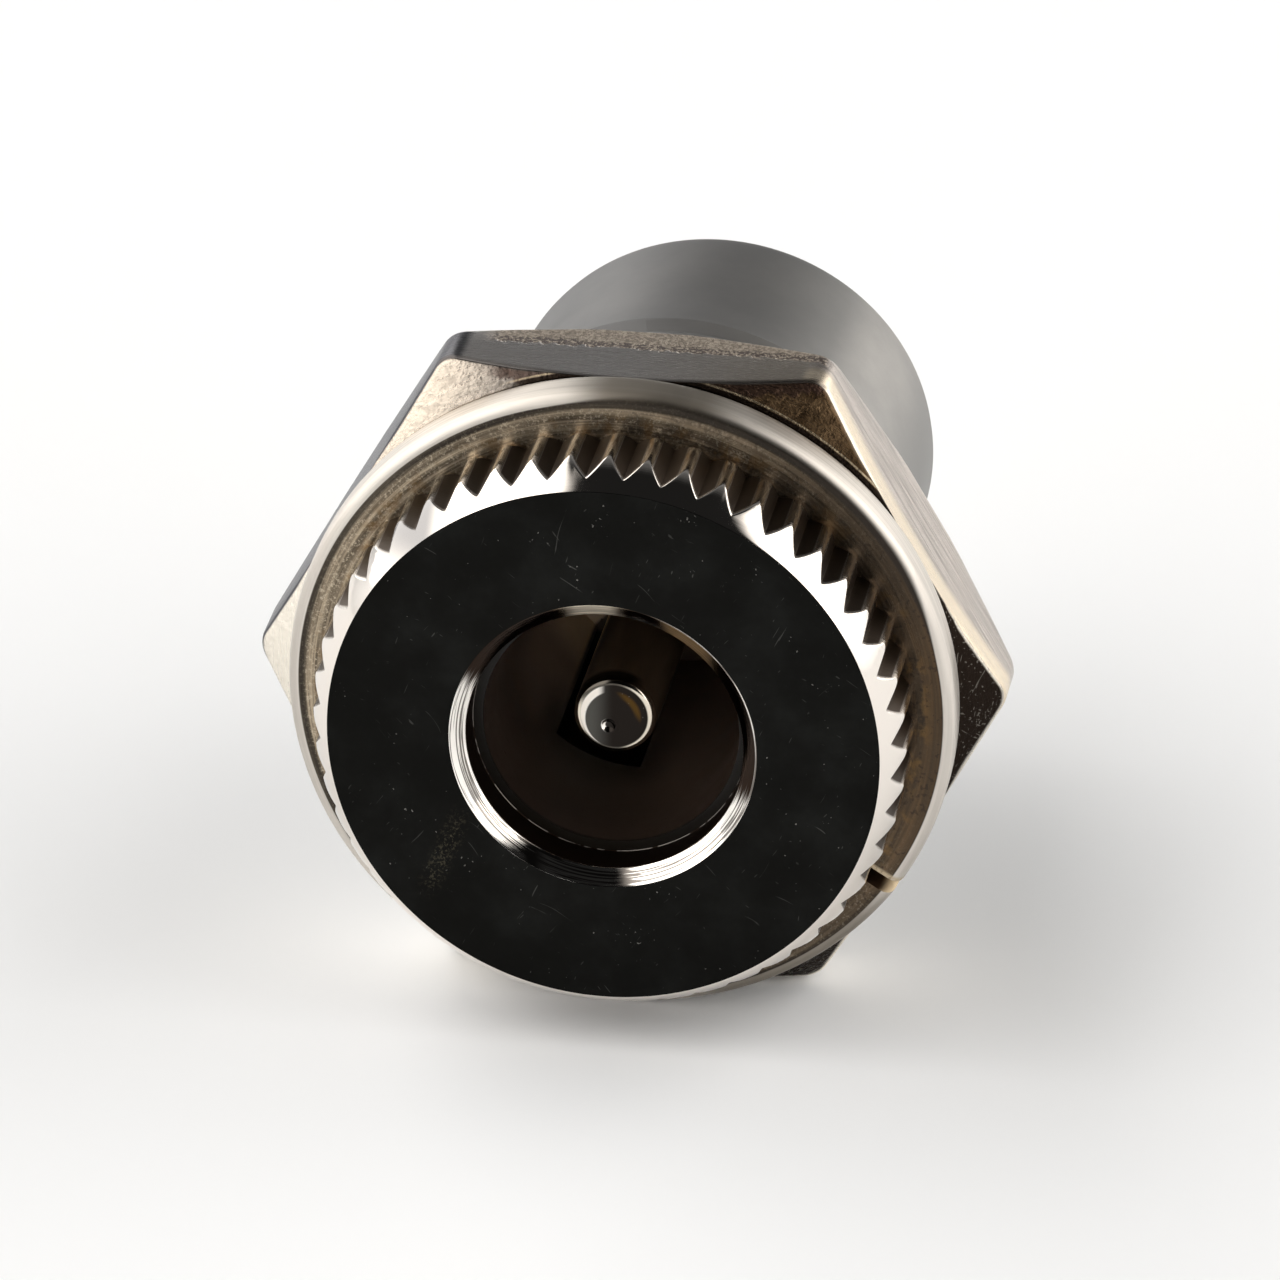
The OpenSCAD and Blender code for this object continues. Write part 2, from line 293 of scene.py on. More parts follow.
in_groove = np.clip((HEAD_R - rim - CREST_ROOM) / CREST_ROOM, 0, 1)
crown_shares = np.linspace(0, 1, CROWN_ROWS)[1:]
crown_radii = [FACE_R + share * (rim - FACE_R) for share in crown_shares]
lip_back = face_y + LIP_L
bevel_height = np.minimum(HEAD_R - BACK_BEVEL - rim, 0)
front_corners = [
    (ring(MOUTH_R, lip_back), 0),
    (ring(MOUTH_R - BURR, lip_back - BURR), 0.01),
    (ring(MOUTH_R, lip_back - 2 * BURR), 0.01),
    (ring(MOUTH_R, face_y + MOUTH_BEVEL_L), 0.03),
    (ring(MOUTH_R + MOUTH_BEVEL_W, face_y), 0.025),
    (ring((MOUTH_R + FACE_R) / 2, face_y), 0),
    (ring(FACE_R, face_y), 0.02),
    *[(ring(radius, face_y + crown_height(radius)), 0) for radius in crown_radii[:-1]],
    (ring(rim, face_y + crown_height(rim)), FANG_EDGE),
    (ring(rim, face_y + crown_height(rim) + FANG_BACK, in_groove), 0),
    (ring(rim, face_y / 4, in_groove), 0),
    (ring(rim, bevel_height - ROW_GAP, in_groove), 0.02),
    (ring(np.minimum(rim, HEAD_R - BACK_BEVEL), 0), 0.02),
    (ring(ROOT_R, 0), 0.1),
    (ring(ROOT_R, RELIEF_L), 0),
]
print(len(front_corners), "corners in front of the thread")

# %% [markdown]
# ## The barrel's thread
# The thread is a fine metric one with a pitch of 1 mm. Stacked rings would look nearly the same, but
# they don't screw. A Screw modifier makes a helix with open ends that then have to be sewn to the
# barrel. Here the rows of the grid themselves climb: a row's height falls by one pitch in each turn,
# so row number n at the end of a turn is row n minus one pitch at its start. Rows that would leave the
# threaded stretch are held on its end circles, and the pinched cells there drop out of the skin.

# %% Helical rows
THREAD_R = 6.0
PITCH = 1.0
THREAD_END = 9.8
RUN_OUT = 0.55
CREST_SHARE = 0.625
HALF_CREST = 1 / 16
FLANK = 5 / 16
THREAD_PHASES = np.array([0.02, 0.23, 0.29, 0.54, 0.58, 0.67, 0.71, 0.96])


def smooth_share(value):
    """0 below 0, 1 above 1, and 3 t^2 - 2 t^3 between."""
    t = np.clip(value, 0, 1)
    return t * t * (3 - 2 * t)


def thread_height(phase):
    """Height of the thread's profile, 0 at the root and 1 at the crest, at a share of the pitch: the
    crest is an eighth of the pitch wide, and each flank takes five sixteenths."""
    from_crest = np.abs(phase % 1 - CREST_SHARE)
    return np.clip((HALF_CREST + FLANK - from_crest) / FLANK, 0, 1)


per_pitch = len(THREAD_PHASES)
turn_count = int(np.ceil((THREAD_END - RELIEF_L) / PITCH)) + 1
climb = (np.arange(turn_count)[:, None] + THREAD_PHASES).ravel()
turned = (shell_angles - shell_angles[0]) / (2 * np.pi)
helix_y = RELIEF_L + PITCH * (climb[:, None] - turned)
fade = smooth_share((helix_y - RELIEF_L) / RUN_OUT) * smooth_share((THREAD_END - helix_y) / RUN_OUT)
helix_r = ROOT_R + (THREAD_R - ROOT_R) * thread_height(climb)[:, None] * fade
helix_inside = (helix_y > RELIEF_L) & (helix_y < THREAD_END)
print(f"{turn_count} turns of {per_pitch} rows, {helix_inside.sum()} points on the thread")

# %% [markdown]
# ## The tail and the whole shell
# Behind the thread the shell steps down to a smooth tail, whose end is rolled in over the core. Inside
# there is one straight cavity up to the lip. The outline closes at the lip, so the whole shell is one
# closed surface: front rows, helical rows and rear rows share their end circles.

# %% Rear outline, and one skin for all of the shell
SHOULDER_Y = 10.1
TAIL_R = 5.409
CAVITY_R = 4.609
RIM_R = 4.279
RIM_T = 0.5

tail_end = shell_high[1]
rear_corners = [
    (ring(ROOT_R, THREAD_END), 0),
    (ring(ROOT_R, SHOULDER_Y), 0.02),
    (ring(TAIL_R, SHOULDER_Y), 0.015),
    (ring(TAIL_R, (SHOULDER_Y + tail_end) / 2), 0),
    (ring(TAIL_R, tail_end), RIM_T),
    (ring(RIM_R, tail_end), 0.12),
    (ring(RIM_R, tail_end - RIM_T), 0.02),
    (ring(CAVITY_R, tail_end - RIM_T), 0),
    (ring(CAVITY_R, lip_back), 0),
]
rows = soft_corners(front_corners + rear_corners)
split_row = int(np.flatnonzero((rows[:, 0, 0] == ROOT_R) & (rows[:, 0, 1] == THREAD_END))[0])
ring_numbers = numbered(rows)
helix_numbers = np.where(helix_y <= RELIEF_L, ring_numbers[split_row - 1], ring_numbers[split_row])
helix_numbers[helix_inside] = ring_numbers.size + np.arange(helix_inside.sum())
seam = np.concatenate([np.full(per_pitch, ring_numbers[split_row - 1, 0]), helix_numbers[:-per_pitch, 0]])
helix_points = carry_round(np.stack([helix_r, helix_y], axis=-1), shell_angles)[helix_inside]
shell_points = np.concatenate([carry_round(rows, shell_angles).reshape(-1, 3), helix_points])
shell_faces = np.concatenate([
    skin(closed_columns(ring_numbers[:split_row])),
    skin(np.hstack([helix_numbers, seam[:, None]])),
    skin(closed_columns(np.vstack([ring_numbers[split_row:], ring_numbers[:1]]))),
])
shell_groove = np.concatenate([rows[..., 2].ravel(), np.zeros(len(helix_points))])
shell = make_piece(
    "turned_shell", shell_points, shell_faces, "socket", "shell", "nickel_shell", groove=shell_groove)

# %% [markdown]
# ## The split lock washer
# A spring washer is a length of wire with a rounded edge, bent to a ring and cut on a slant, so that
# its ends bite. It could be a torus with a wedge cut out. Carrying the section along an open path
# keeps the ends exact: each point of the section starts and stops at its own angle, which shifts with
# its height, and so the two end faces come out slanted and flat. A fan closes each of them. One
# mark tells the finish which triangles are the cut faces, and another where an end is worn bright.

# %% Carry the washer's section along its open ring
WASHER_IN_R = 6.15
WASHER_ROUND = 0.34
SPLIT_ANGLE = np.radians(328)
SPLIT_W = 0.35
SPLIT_SLANT = np.radians(25)
WASHER_COLUMNS = 311
WORN_END = 0.0026
INNER_EDGE = 0.06
END_SHARES = np.array([0, 0.0015, 0.003, 0.0042, 0.0048])
FIRST_SHARE = 0.007

washer_out_r = washer_high[2]
washer_front, washer_back = washer_low[1], washer_high[1]
washer_middle = (washer_front + washer_back) / 2
section = [
    ([WASHER_IN_R, washer_back], INNER_EDGE), ([WASHER_IN_R, washer_front], INNER_EDGE),
    ([washer_out_r, washer_front], WASHER_ROUND), ([washer_out_r, washer_back], WASHER_ROUND),
]
section_rows = soft_corners(section, steps=7)[:, None]
section_r, section_y = section_rows[..., 0], section_rows[..., 1]
split_middle = SPLIT_ANGLE + np.tan(SPLIT_SLANT) * (section_y - washer_middle) / section_r
split_half = SPLIT_W / (2 * np.cos(SPLIT_SLANT)) / section_r
between_ends = np.linspace(FIRST_SHARE, 1 - FIRST_SHARE, WASHER_COLUMNS)
path = np.concatenate([END_SHARES, between_ends, 1 - END_SHARES[::-1]])
washer_angles = split_middle + split_half + path * (2 * np.pi - 2 * split_half)
washer_grid = carry_round(section_rows, washer_angles)
washer_ends = washer_grid[:, [0, -1]].mean(axis=0)
washer_numbers = numbered(washer_grid)
first_end = np.full(len(section_rows), washer_numbers.size)
washer_skin = np.column_stack([first_end, washer_numbers, first_end + 1])
washer_points = np.concatenate([washer_grid.reshape(-1, 3), washer_ends])
washer_faces = skin(closed_rows(washer_skin))
washer_cut = (washer_faces >= washer_numbers.size).any(axis=1)
washer_worn = np.append(np.tile(path < WORN_END, len(section_rows)), [0, 0])
washer = make_piece(
    "split_washer", washer_points, washer_faces, "washer", "lock_washer", "nickel_washer",
    cut=washer_cut, worn=washer_worn)

# %% [markdown]
# ## The hexagon nut
# The nut is cut from hexagon bar and chamfered on both sides, which leaves a curved edge on each flat.
# A six-sided cylinder cut by two cones would do it, with the usual ragged Booleans. Seen from the axis,
# though, a nut is simple too: at each angle there is one outer radius, and the chamfer's cone takes
# off as much as that radius stands out past the cone's start. The columns crowd at the corners, where
# the outline turns.

# %% Outline of the nut at each angle
HALF_SIDE = np.radians(30)
CORNER_R = 0.6
CHAMFER_START = 0.1
CHAMFER_SLOPE = np.tan(np.radians(30))
NUT_BORE_R = 6.05
NUT_BORE_BEVEL = 0.35
NUT_EDGE = 0.16
CORNER_DEG = np.array([0, 0.5, 1, 1.5, 1.91, 2.4, 3.2, 4.5, 6.5, 9, 12, 15.5, 19, 22.5, 26, 30])

nut_flat = nut_high[2]
nut_front, nut_back = nut_low[1], nut_high[1]
sector = np.radians(np.concatenate([-CORNER_DEG[:0:-1], CORNER_DEG[:-1]]))
nut_angles = (2 * HALF_SIDE * np.arange(6)[:, None] + sector).ravel()


def nut_radius(angle):
    """Distance from the axis to the hexagon's side: flat / cos(b) with b the angle from the middle of
    a flat, and near a corner the round of radius c about a centre d on the corner's line, which is
    d cos(a) + sqrt(c^2 - d^2 sin(a)^2) at the angle a from that line."""
    a = np.abs((angle + HALF_SIDE) % (2 * HALF_SIDE) - HALF_SIDE)
    d = (nut_flat - CORNER_R) / np.cos(HALF_SIDE)
    straight = nut_flat / np.cos(HALF_SIDE - a)
    rounded = d * np.cos(a) + np.sqrt(np.maximum(CORNER_R ** 2 - (d * np.sin(a)) ** 2, 0))
    turn = np.arctan2(CORNER_R * np.sin(HALF_SIDE), d + CORNER_R * np.cos(HALF_SIDE))
    return np.where(a < turn, rounded, straight)


side = nut_radius(nut_angles)
cone = nut_flat + CHAMFER_START
drop = np.maximum(side - cone, 0) * CHAMFER_SLOPE
print(f"{len(nut_angles)} columns, corners at {side.max():.2f} mm, chamfered {drop.max():.2f} mm")

# %% Close the nut's outline and skin it


def nut_ring(radius, height):
    """One row of the nut's outline."""
    pair = np.broadcast_arrays(radius, height, nut_angles)[:2]
    return np.stack(pair, axis=-1)


brim = np.minimum(side, cone) - 2 * ROW_GAP
nut_corners = [
    (nut_ring(NUT_BORE_R, nut_front + NUT_BORE_BEVEL), 0.03),
    (nut_ring(NUT_BORE_R + NUT_BORE_BEVEL, nut_front), 0.03),
    (nut_ring(brim, nut_front), 0.02),
    (nut_ring(side, nut_front + drop + ROW_GAP), NUT_EDGE),
    (nut_ring(side, (nut_front + nut_back) / 2), 0),
    (nut_ring(side, nut_back - drop - ROW_GAP), NUT_EDGE),
    (nut_ring(brim, nut_back), 0.02),
    (nut_ring(NUT_BORE_R + NUT_BORE_BEVEL, nut_back), 0.03),
    (nut_ring(NUT_BORE_R, nut_back - NUT_BORE_BEVEL), 0.03),
]
nut_rows = soft_corners(nut_corners)
nut_numbers = numbered(nut_rows)
nut = make_piece(
    "clamp_nut", carry_round(nut_rows, nut_angles).reshape(-1, 3),
    skin(closed_columns(closed_rows(nut_numbers))), "nut", "hex_nut", "nickel_nut")

# %% [markdown]
# ## The centre pin
# The pin is turned: a rounded tip with the small dimple that the lathe's centre leaves, a flange that
# seats on the floor of the bore, and a stem that is riveted at the back. It is one outline from axis
# to axis, with a point at each end, so the skin closes by itself. The dimple is a little off the axis:
# its rows are the first ones, and they are moved together.

# %% Turn the pin
PIN_R = 1.0
TIP_ROUND = 0.24
DIMPLE_R = 0.18
DIMPLE_DEPTH = 0.08
DIMPLE_AT = (-0.14, -0.26)
FLANGE_R = 1.7
FLANGE_T = 0.6
STEM_R = 0.75
RIVET_R = 1.15
RIVET_H = 0.4
PIN_COLUMNS = 96
PIN_STEPS = 6
REAR_R = 0.1
BORE_FLOOR = 8.97
FLANGE_GAP = 0.02

tip_y, rivet_end = pin_low[1], pin_high[1]
flange_y = BORE_FLOOR - FLANGE_GAP
rivet_y = rivet_end - RIVET_H
bowl = np.linspace(0, 1, 6)[1:-1]
pin_corners = [
    *[([DIMPLE_R * s, tip_y + DIMPLE_DEPTH * (1 - s ** 2)], 0) for s in bowl],
    ([DIMPLE_R, tip_y], 0.04), ([PIN_R, tip_y], TIP_ROUND),
    ([PIN_R, flange_y - FLANGE_T], 0.02), ([FLANGE_R, flange_y - FLANGE_T], 0.08),
    ([FLANGE_R, flange_y], 0.03), ([STEM_R, flange_y], 0.02), ([STEM_R, rivet_y], 0.02),
    ([RIVET_R, rivet_y], 0.06), ([RIVET_R, rivet_y + RIVET_H / 2], 0.15), ([STEM_R, rivet_end], 0.2),
    ([REAR_R, rivet_end], 0),
]
pin_rows = soft_corners(pin_corners, steps=PIN_STEPS)[:, None]
pin_angles = np.linspace(0, 2 * np.pi, PIN_COLUMNS, endpoint=False)
pin_grid = carry_round(pin_rows, pin_angles)
pin_grid[:len(bowl) + PIN_STEPS] += [DIMPLE_AT[0], 0, DIMPLE_AT[1]]
pin_numbers = numbered(pin_grid)
pole = np.full(PIN_COLUMNS, pin_numbers.size)
pin_poles = np.array([[DIMPLE_AT[0], tip_y + DIMPLE_DEPTH, DIMPLE_AT[1]], [0, rivet_end, 0]])
pin = make_piece(
    "plug_pin", np.concatenate([pin_grid.reshape(-1, 3), pin_poles]),
    skin(closed_columns(np.vstack([pole, pin_numbers, pole + 1]))), "socket", "centre_pin", "nickel_pin")

# %% [markdown]
# ## The core and the contacts
# The moulded core, the centre lug and the sleeve spring keep their CAD meshes, because their shapes
# are right. Sheet metal that was punched has slightly rolled edges, so the two contacts get a Weld
# modifier, which joins their loose triangles, and a small Bevel on the edges that are really sharp.

# %% Roll the edges of the contacts
STRIP_EDGE = 0.04
WELD_GAP = 0.001
ROLLED_DEG = 50

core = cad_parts["core"]
contacts = [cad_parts["centre_lug"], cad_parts["sleeve_spring"]]
for strip in contacts:
    weld = strip.modifiers.new("join_triangles", "WELD")
    weld.merge_threshold = WELD_GAP * MM
    edge = strip.modifiers.new("rolled_edge", "BEVEL")
    edge.width = STRIP_EDGE * MM
    edge.segments = 2
    edge.limit_method = "ANGLE"
    edge.angle_limit = np.radians(ROLLED_DEG)
    print(strip.name, "has edges of", STRIP_EDGE, "mm")

# %% [markdown]
# ## Wiring shader nodes
# A finish is a small graph of nodes. Wired socket by socket it is long to write and hard to read, so an
# output of a node gets a class of its own here, a wire. Signs between wires add Math nodes: a product
# keeps what is in both of two masks, | keeps what is in either, and 1 - mask is what lies outside it.
# Whatever feeds a node is another wire, which gets linked, or a plain number or colour, which is set on
# the socket.

# %% A node, and the wire that leads on from it


def add_node(tree, kind, inputs=(), output=0, **settings):
    """Adds a node, sets its options, feeds its inputs by index or name, and gives one output as a wire."""
    node = tree.nodes.new(kind)
    for option, value in settings.items():
        setattr(node, option, value)
    for key, value in dict(inputs).items():
        if isinstance(value, Wire):
            value.to(node.inputs[key])
        else:
            node.inputs[key].default_value = value
    return Wire(tree, node.outputs[output])


class Wire:
    """An output of a node, with the tree it is in. Each method adds the node that its name stands for."""

    def __init__(self, tree, socket):
        self.tree = tree
        self.socket = socket

    def to(self, socket):
        """Links the wire to an input."""
        self.tree.links.new(self.socket, socket)

    def calc(self, operation, *others):
        """One Math node: the operation on this value and others."""
        values = dict(enumerate((self, *others)))
        return add_node(self.tree, "ShaderNodeMath", values, operation=operation)

    __add__ = partialmethod(calc, "ADD")
    __sub__ = partialmethod(calc, "SUBTRACT")
    __mul__ = partialmethod(calc, "MULTIPLY")
    __truediv__ = partialmethod(calc, "DIVIDE")
    __or__ = partialmethod(calc, "MAXIMUM")
    __lt__ = partialmethod(calc, "LESS_THAN")
    __gt__ = partialmethod(calc, "GREATER_THAN")
    __rsub__ = partialmethod(calc, "MULTIPLY_ADD", -1.0)

    def ramp(self, low, high):
        """A smooth step of the value: 0 at `low`, 1 at `high`. With `low` above `high` it falls."""
        inputs = {"Value": self, "From Min": low, "From Max": high}
        return add_node(self.tree, "ShaderNodeMapRange", inputs, interpolation_type="SMOOTHSTEP")

    def near(self, middle, far, close):
        """1 within `close` of a middle value, and 0 further than `far` from it."""
        return (self - middle).calc("ABSOLUTE").ramp(far, close)

    def between(self, low, high):
        """A number from `low` where this mask is 0 to `high` where it is 1."""
        return add_node(self.tree, "ShaderNodeMapRange", {"Value": self, "To Min": low, "To Max": high})

    def mix(self, colour_a, colour_b):
        """A colour from `colour_a` where this mask is 0 to `colour_b` where it is 1."""
        inputs = {0: self, 6: colour_a, 7: colour_b}
        return add_node(self.tree, "ShaderNodeMix", inputs, 2, data_type="RGBA")

    def parts(self):
        """The x, y and z of a place."""
        split = add_node(self.tree, "ShaderNodeSeparateXYZ", {0: self}).socket.node
        return [Wire(self.tree, socket) for socket in split.outputs]

    def noise(self, scale, detail=2.0, roughness=0.5):
        """Noise from 0 to 1 at a place, at a scale per millimetre."""
        inputs = {"Vector": self, "Scale": scale, "Detail": detail, "Roughness": roughness}
        return add_node(self.tree, "ShaderNodeTexNoise", inputs)

    def effect(self, group, **values):
        """A node group at a place. Names use _ for a space."""
        node = self.tree.nodes.new("ShaderNodeGroup")
        node.node_tree = group
        self.to(node.inputs["Vector"])
        for label, value in values.items():
            node.inputs[label.replace("_", " ")].default_value = value
        return Wire(self.tree, node.outputs[0])

    def bump(self, strength, distance):
        """A normal from a height, with the distance in millimetres."""
        inputs = {"Height": self, "Strength": strength, "Distance": distance * MM}
        return add_node(self.tree, "ShaderNodeBump", inputs)


# %% Distance from the axis, layers of paint, and a colour


def axis_radius(x, z):
    """Distance from the Y axis: the square root of x squared plus z squared."""
    return (x * x + z * z).calc("SQRT")


def layered(colour, *layers):
    """Paints layers over a colour. Each is a mask and the colour to put where the mask is 1."""
    for mask, paint in layers:
        colour = mask.mix(colour, paint)
    return colour


def rgb(red, green, blue):
    """A colour for a socket, with full alpha."""
    return (red, green, blue, 1.0)


# %% [markdown]
# ## Four effects that several finishes share
# Turned metal has fine lines round the axis. Handling leaves hairline scratches and specks of dust, and
# age leaves patches of tarnish. Each effect is a node group that puts out one mask from 0 to 1, and
# each finish then decides what the mask does to its colour, gloss or height.

# %% Make the effect groups


def new_group(name, inputs, output):
    """A shader node group with a vector input, named value inputs with defaults, and one value output.
    Gives the tree, a wire from each input, and the socket of the output."""
    tree = bpy.data.node_groups.new(name, "ShaderNodeTree")
    tree.interface.new_socket("Vector", in_out="INPUT", socket_type="NodeSocketVector")
    for label, default in inputs.items():
        socket = tree.interface.new_socket(label, in_out="INPUT", socket_type="NodeSocketFloat")
        socket.default_value = default
    tree.interface.new_socket(output, in_out="OUTPUT", socket_type="NodeSocketFloat")
    given = tree.nodes.new("NodeGroupInput").outputs
    wires = [Wire(tree, given[label]) for label in ("Vector", *inputs)]
    return tree, wires, tree.nodes.new("NodeGroupOutput").inputs[output]


def turning_lines_group():
    """Noise on (radius - 1.3 height, direction): it changes fast across the turned surface and slowly
    round it, so it draws long broken lines. Direction is the unit vector from the axis."""
    inputs = {"Lines per mm": 12.0, "Breaks": 2.0}
    tree, (place, per_mm, breaks), result = new_group("turning_lines", inputs, "Lines")
    x, y, z = place.parts()
    radius = axis_radius(x, z)
    vector = {0: (radius - y * 1.3) * per_mm, 1: x / radius * breaks, 2: z / radius * breaks}
    lines = add_node(tree, "ShaderNodeCombineXYZ", vector).noise(1.0, 3.0, 0.6)
    lines.ramp(0.3, 0.7).to(result)
    return tree


def scratches_group():
    """Two noises, each stretched along its own direction and squeezed across it, and bent a little by a
    third. Only their tops are kept, which are hairlines."""
    tree, (place, amount), result = new_group("scratches", {"Amount": 0.5}, "Scratches")
    wave = add_node(tree, "ShaderNodeTexNoise", {"Vector": place, "Scale": 0.3}, "Color")
    inputs = {0: wave, 1: (1.6, 1.6, 1.6), 2: place}
    bent = add_node(tree, "ShaderNodeVectorMath", inputs, operation="MULTIPLY_ADD")
    cut = amount * -0.2 + 0.82
    found = []
    for turn in (0.6, 2.1):
        inputs = {"Vector": bent, "Rotation": (0, turn, 0), "Scale": (2.2, 0.06, 0.06)}
        stretched = add_node(tree, "ShaderNodeMapping", inputs, vector_type="TEXTURE")
        found.append(stretched.noise(1.0, 1.0).ramp(cut, cut + 0.05))
    (found[0] | found[1]).to(result)
    return tree


def specks_group():
    """The tops of a fine noise, which are small ragged dots. A coarse noise is added to it, so that the
    dots gather in some places and are rare in others."""
    inputs = {"Per mm": 2.0, "Amount": 0.2}
    tree, (place, per_mm, amount), result = new_group("specks", inputs, "Specks")
    gathered = place.noise(per_mm * 0.13, 1.0) * 0.4 + place.noise(per_mm, 1.0)
    cut = amount * -0.2 + 1.0
    gathered.ramp(cut, cut + 0.04).to(result)
    return tree


def tarnish_group():
    """Cloudy noise with fine grain in it, stretched to the full range."""
    tree, (place, scale, spread), result = new_group("tarnish", {"Scale": 0.5, "Spread": 0.5}, "Tarnish")
    cloud = place.noise(scale, 6.0, 0.62)
    cloud.ramp(spread * -0.5 + 0.5, spread * 0.5 + 0.5).to(result)
    return tree


turning_lines, scratches = turning_lines_group(), scratches_group()
specks, tarnish = specks_group(), tarnish_group()
print("effects:", [group.name for group in (turning_lines, scratches, specks, tarnish)])

# %% Start a finish, join it to its shader, and put it on


def new_finish(name):
    """A material, and the inputs of its Principled shader."""
    material = bpy.data.materials.new(name)
    material.use_nodes = True
    return material, material.node_tree.nodes["Principled BSDF"].inputs


def place_mm(material):
    """Object coordinates in millimetres, whole and as x, y, z and distance from the Y axis."""
    metres = add_node(material.node_tree, "ShaderNodeTexCoord", output="Object")
    scaled = {0: metres, "Scale": 1 / MM}
    place = add_node(material.node_tree, "ShaderNodeVectorMath", scaled, operation="SCALE")
    x, y, z = place.parts()
    return place, x, y, z, axis_radius(x, z)


def piece_mark(material, label):
    """A mark that the piece's mesh carries."""
    return add_node(material.node_tree, "ShaderNodeAttribute", output="Fac", attribute_name=label)


def feed(shader, colour, gloss, normal, metallic=1.0):
    """Joins a finish's colour, roughness and normal to its shader."""
    shader["Metallic"].default_value = metallic
    for label, wire in (("Base Color", colour), ("Roughness", gloss), ("Normal", normal)):
        wire.to(shader[label])


def dress(material, *pieces):
    """Puts a finish on pieces, in their first material slot."""
    for piece in pieces:
        if not piece.material_slots:
            piece.data.materials.append(material)
        piece.material_slots[0].link = "OBJECT"
        piece.material_slots[0].material = material
    print(material.name, "on", [piece.name for piece in pieces])


# %% [markdown]
# ## The shell's nickel
# The shell is bright nickel on brass. Its flat face is polished and painted near black as a dark
# reflection, with a haze of wiped dust, specks, hairlines and one oily smudge. The crowned edge round it
# is a mirror, with a painted grey reflection at the upper left. The mouth's bevel shows the lines of its
# tool. Its upper half and the ends of its foot are painted dark as a reflection, with a painted cream
# highlight at its top, and the lip is painted dark as shade, with a painted glint on its burr. The grooves
# of the knurl are brown with old polish, and painted a little darker towards the right as shade. The
# thread keeps a soft sheen, which dulls to a grey tail, painted darker on its left and lighter on its
# right as light, with a painted highlight streak. One material can hold all of this, because each zone
# is a plain range of radius and height, or has a mark. The numbers of a zone are the places where it
# begins and where it is full, in millimetres from the axis or the panel's plane.

# %% Where each zone of the shell lies
EDGE_NICKEL = rgb(0.88, 0.82, 0.755)
CROWN_PAINTED_REFLECTION = rgb(0.28, 0.272, 0.268)
BARREL_NICKEL = rgb(0.46, 0.455, 0.445)
TAIL_PAINTED_SHADE = rgb(0.15, 0.15, 0.152)
TAIL_PAINTED_LIGHT = rgb(0.27, 0.265, 0.255)
TAIL_PAINTED_HIGHLIGHT = rgb(0.40, 0.385, 0.365)
GROOVE_BROWN = rgb(0.056, 0.040, 0.029)
GROOVE_PAINTED_SHADE = rgb(0.048, 0.034, 0.024)
MOUTH_PAINTED_DARK = rgb(0.026, 0.016, 0.011)
BEVEL_WHITE = rgb(1.0, 0.96, 0.90)
BEVEL_BRONZE = rgb(0.34, 0.22, 0.11)
BEVEL_PAINTED_HIGHLIGHT = rgb(0.92, 0.83, 0.68)
SCORED_LINES = ((0.16, 0.02, 0.006), (0.23, 0.016, 0.004))
FOOT_X = -0.6
STREAKS = 0.7
UPPER_LEAN = 0.407

bevel_end = face_y + MOUTH_BEVEL_L
bevel_r = MOUTH_R + MOUTH_BEVEL_W
print(f"bevel from {MOUTH_R:.2f} to {bevel_r:.2f} mm from the axis")


def bevel_lines_and_painted_dark(x, z, radius, lines):
    """Dark marks on the lower bevel: the lines of the tool, two that are scored deeper at their own
    distance from the bevel's edge, and painted dark reflection at the two ends of the bevel's foot,
    fraying along the lines."""
    # Painted dark reflection at the two ends of the bevel's foot.
    from_foot = (x - FOOT_X).calc("ABSOLUTE")
    frayed = lines * STREAKS + from_foot
    dark = frayed.ramp(1.85, 1.7) * from_foot.ramp(0.7, 1.1) * z.ramp(-1.0, -2.0)
    dark = dark | lines.ramp(0.42, 0.2)
    for inset, far, close in SCORED_LINES:
        dark = dark | radius.near(bevel_r - inset, far, close)
    return dark


def mouth_metal(x, y, z, radius, lines, metal):
    """Adds the mouth to the metal's colour: a white lower bevel with dark lines and painted dark
    reflection at the ends of its foot, an upper bevel painted dark as a reflection, with a painted cream
    highlight at its top and a bronze stretch to the right of it, and a lip painted dark as shade, with a
    painted glint on its burr. Also says where the mouth is satin, which is on those two stretches and on
    the lip."""
    in_mouth = radius < bevel_r + 0.005
    on_bevel = in_mouth * (y < bevel_end)
    lines_and_painted_dark = on_bevel * bevel_lines_and_painted_dark(x, z, radius, lines) * 0.85
    bright_edge = radius.ramp(bevel_r - 0.05, bevel_r - 0.02) * x.ramp(1.0, 2.4)
    streaky = lines * STREAKS + x * UPPER_LEAN + z
    # The upper bevel is painted dark as a reflection, but for a bright edge on the right.
    upper = on_bevel * streaky.ramp(0.28, 0.73) * (1 - bright_edge)
    # A painted cream highlight at the top of the upper bevel, and a bronze stretch to its right.
    at_top = x.near(-0.25, 1.1, 0.3)
    lit = at_top | x.near(2.0, 1.0, 0.3)
    glow = at_top.mix(BEVEL_BRONZE, BEVEL_PAINTED_HIGHLIGHT)
    painted_shade = layered(MOUTH_PAINTED_DARK, (lit, glow), (lines * 0.6, MOUTH_PAINTED_DARK))
    around = add_node(x.tree, "ShaderNodeCombineXYZ", {0: x, 1: z})
    dashed = around.noise(2.2).ramp(0.42, 0.5)
    # A painted dashed glint along the lip's burr.
    painted_burr_glint = in_mouth * (y > lip_back - 2.2 * BURR) * dashed
    # The lip is painted dark as shade.
    on_lip = in_mouth * y.ramp(bevel_end, bevel_end + 0.02)
    metal = layered(
        metal, (on_bevel, BEVEL_WHITE), (lines_and_painted_dark, GROOVE_BROWN), (upper, painted_shade),
        (on_lip, MOUTH_PAINTED_DARK), (on_lip * painted_burr_glint * 0.35, EDGE_NICKEL))
    return metal, (upper * lit) | on_lip


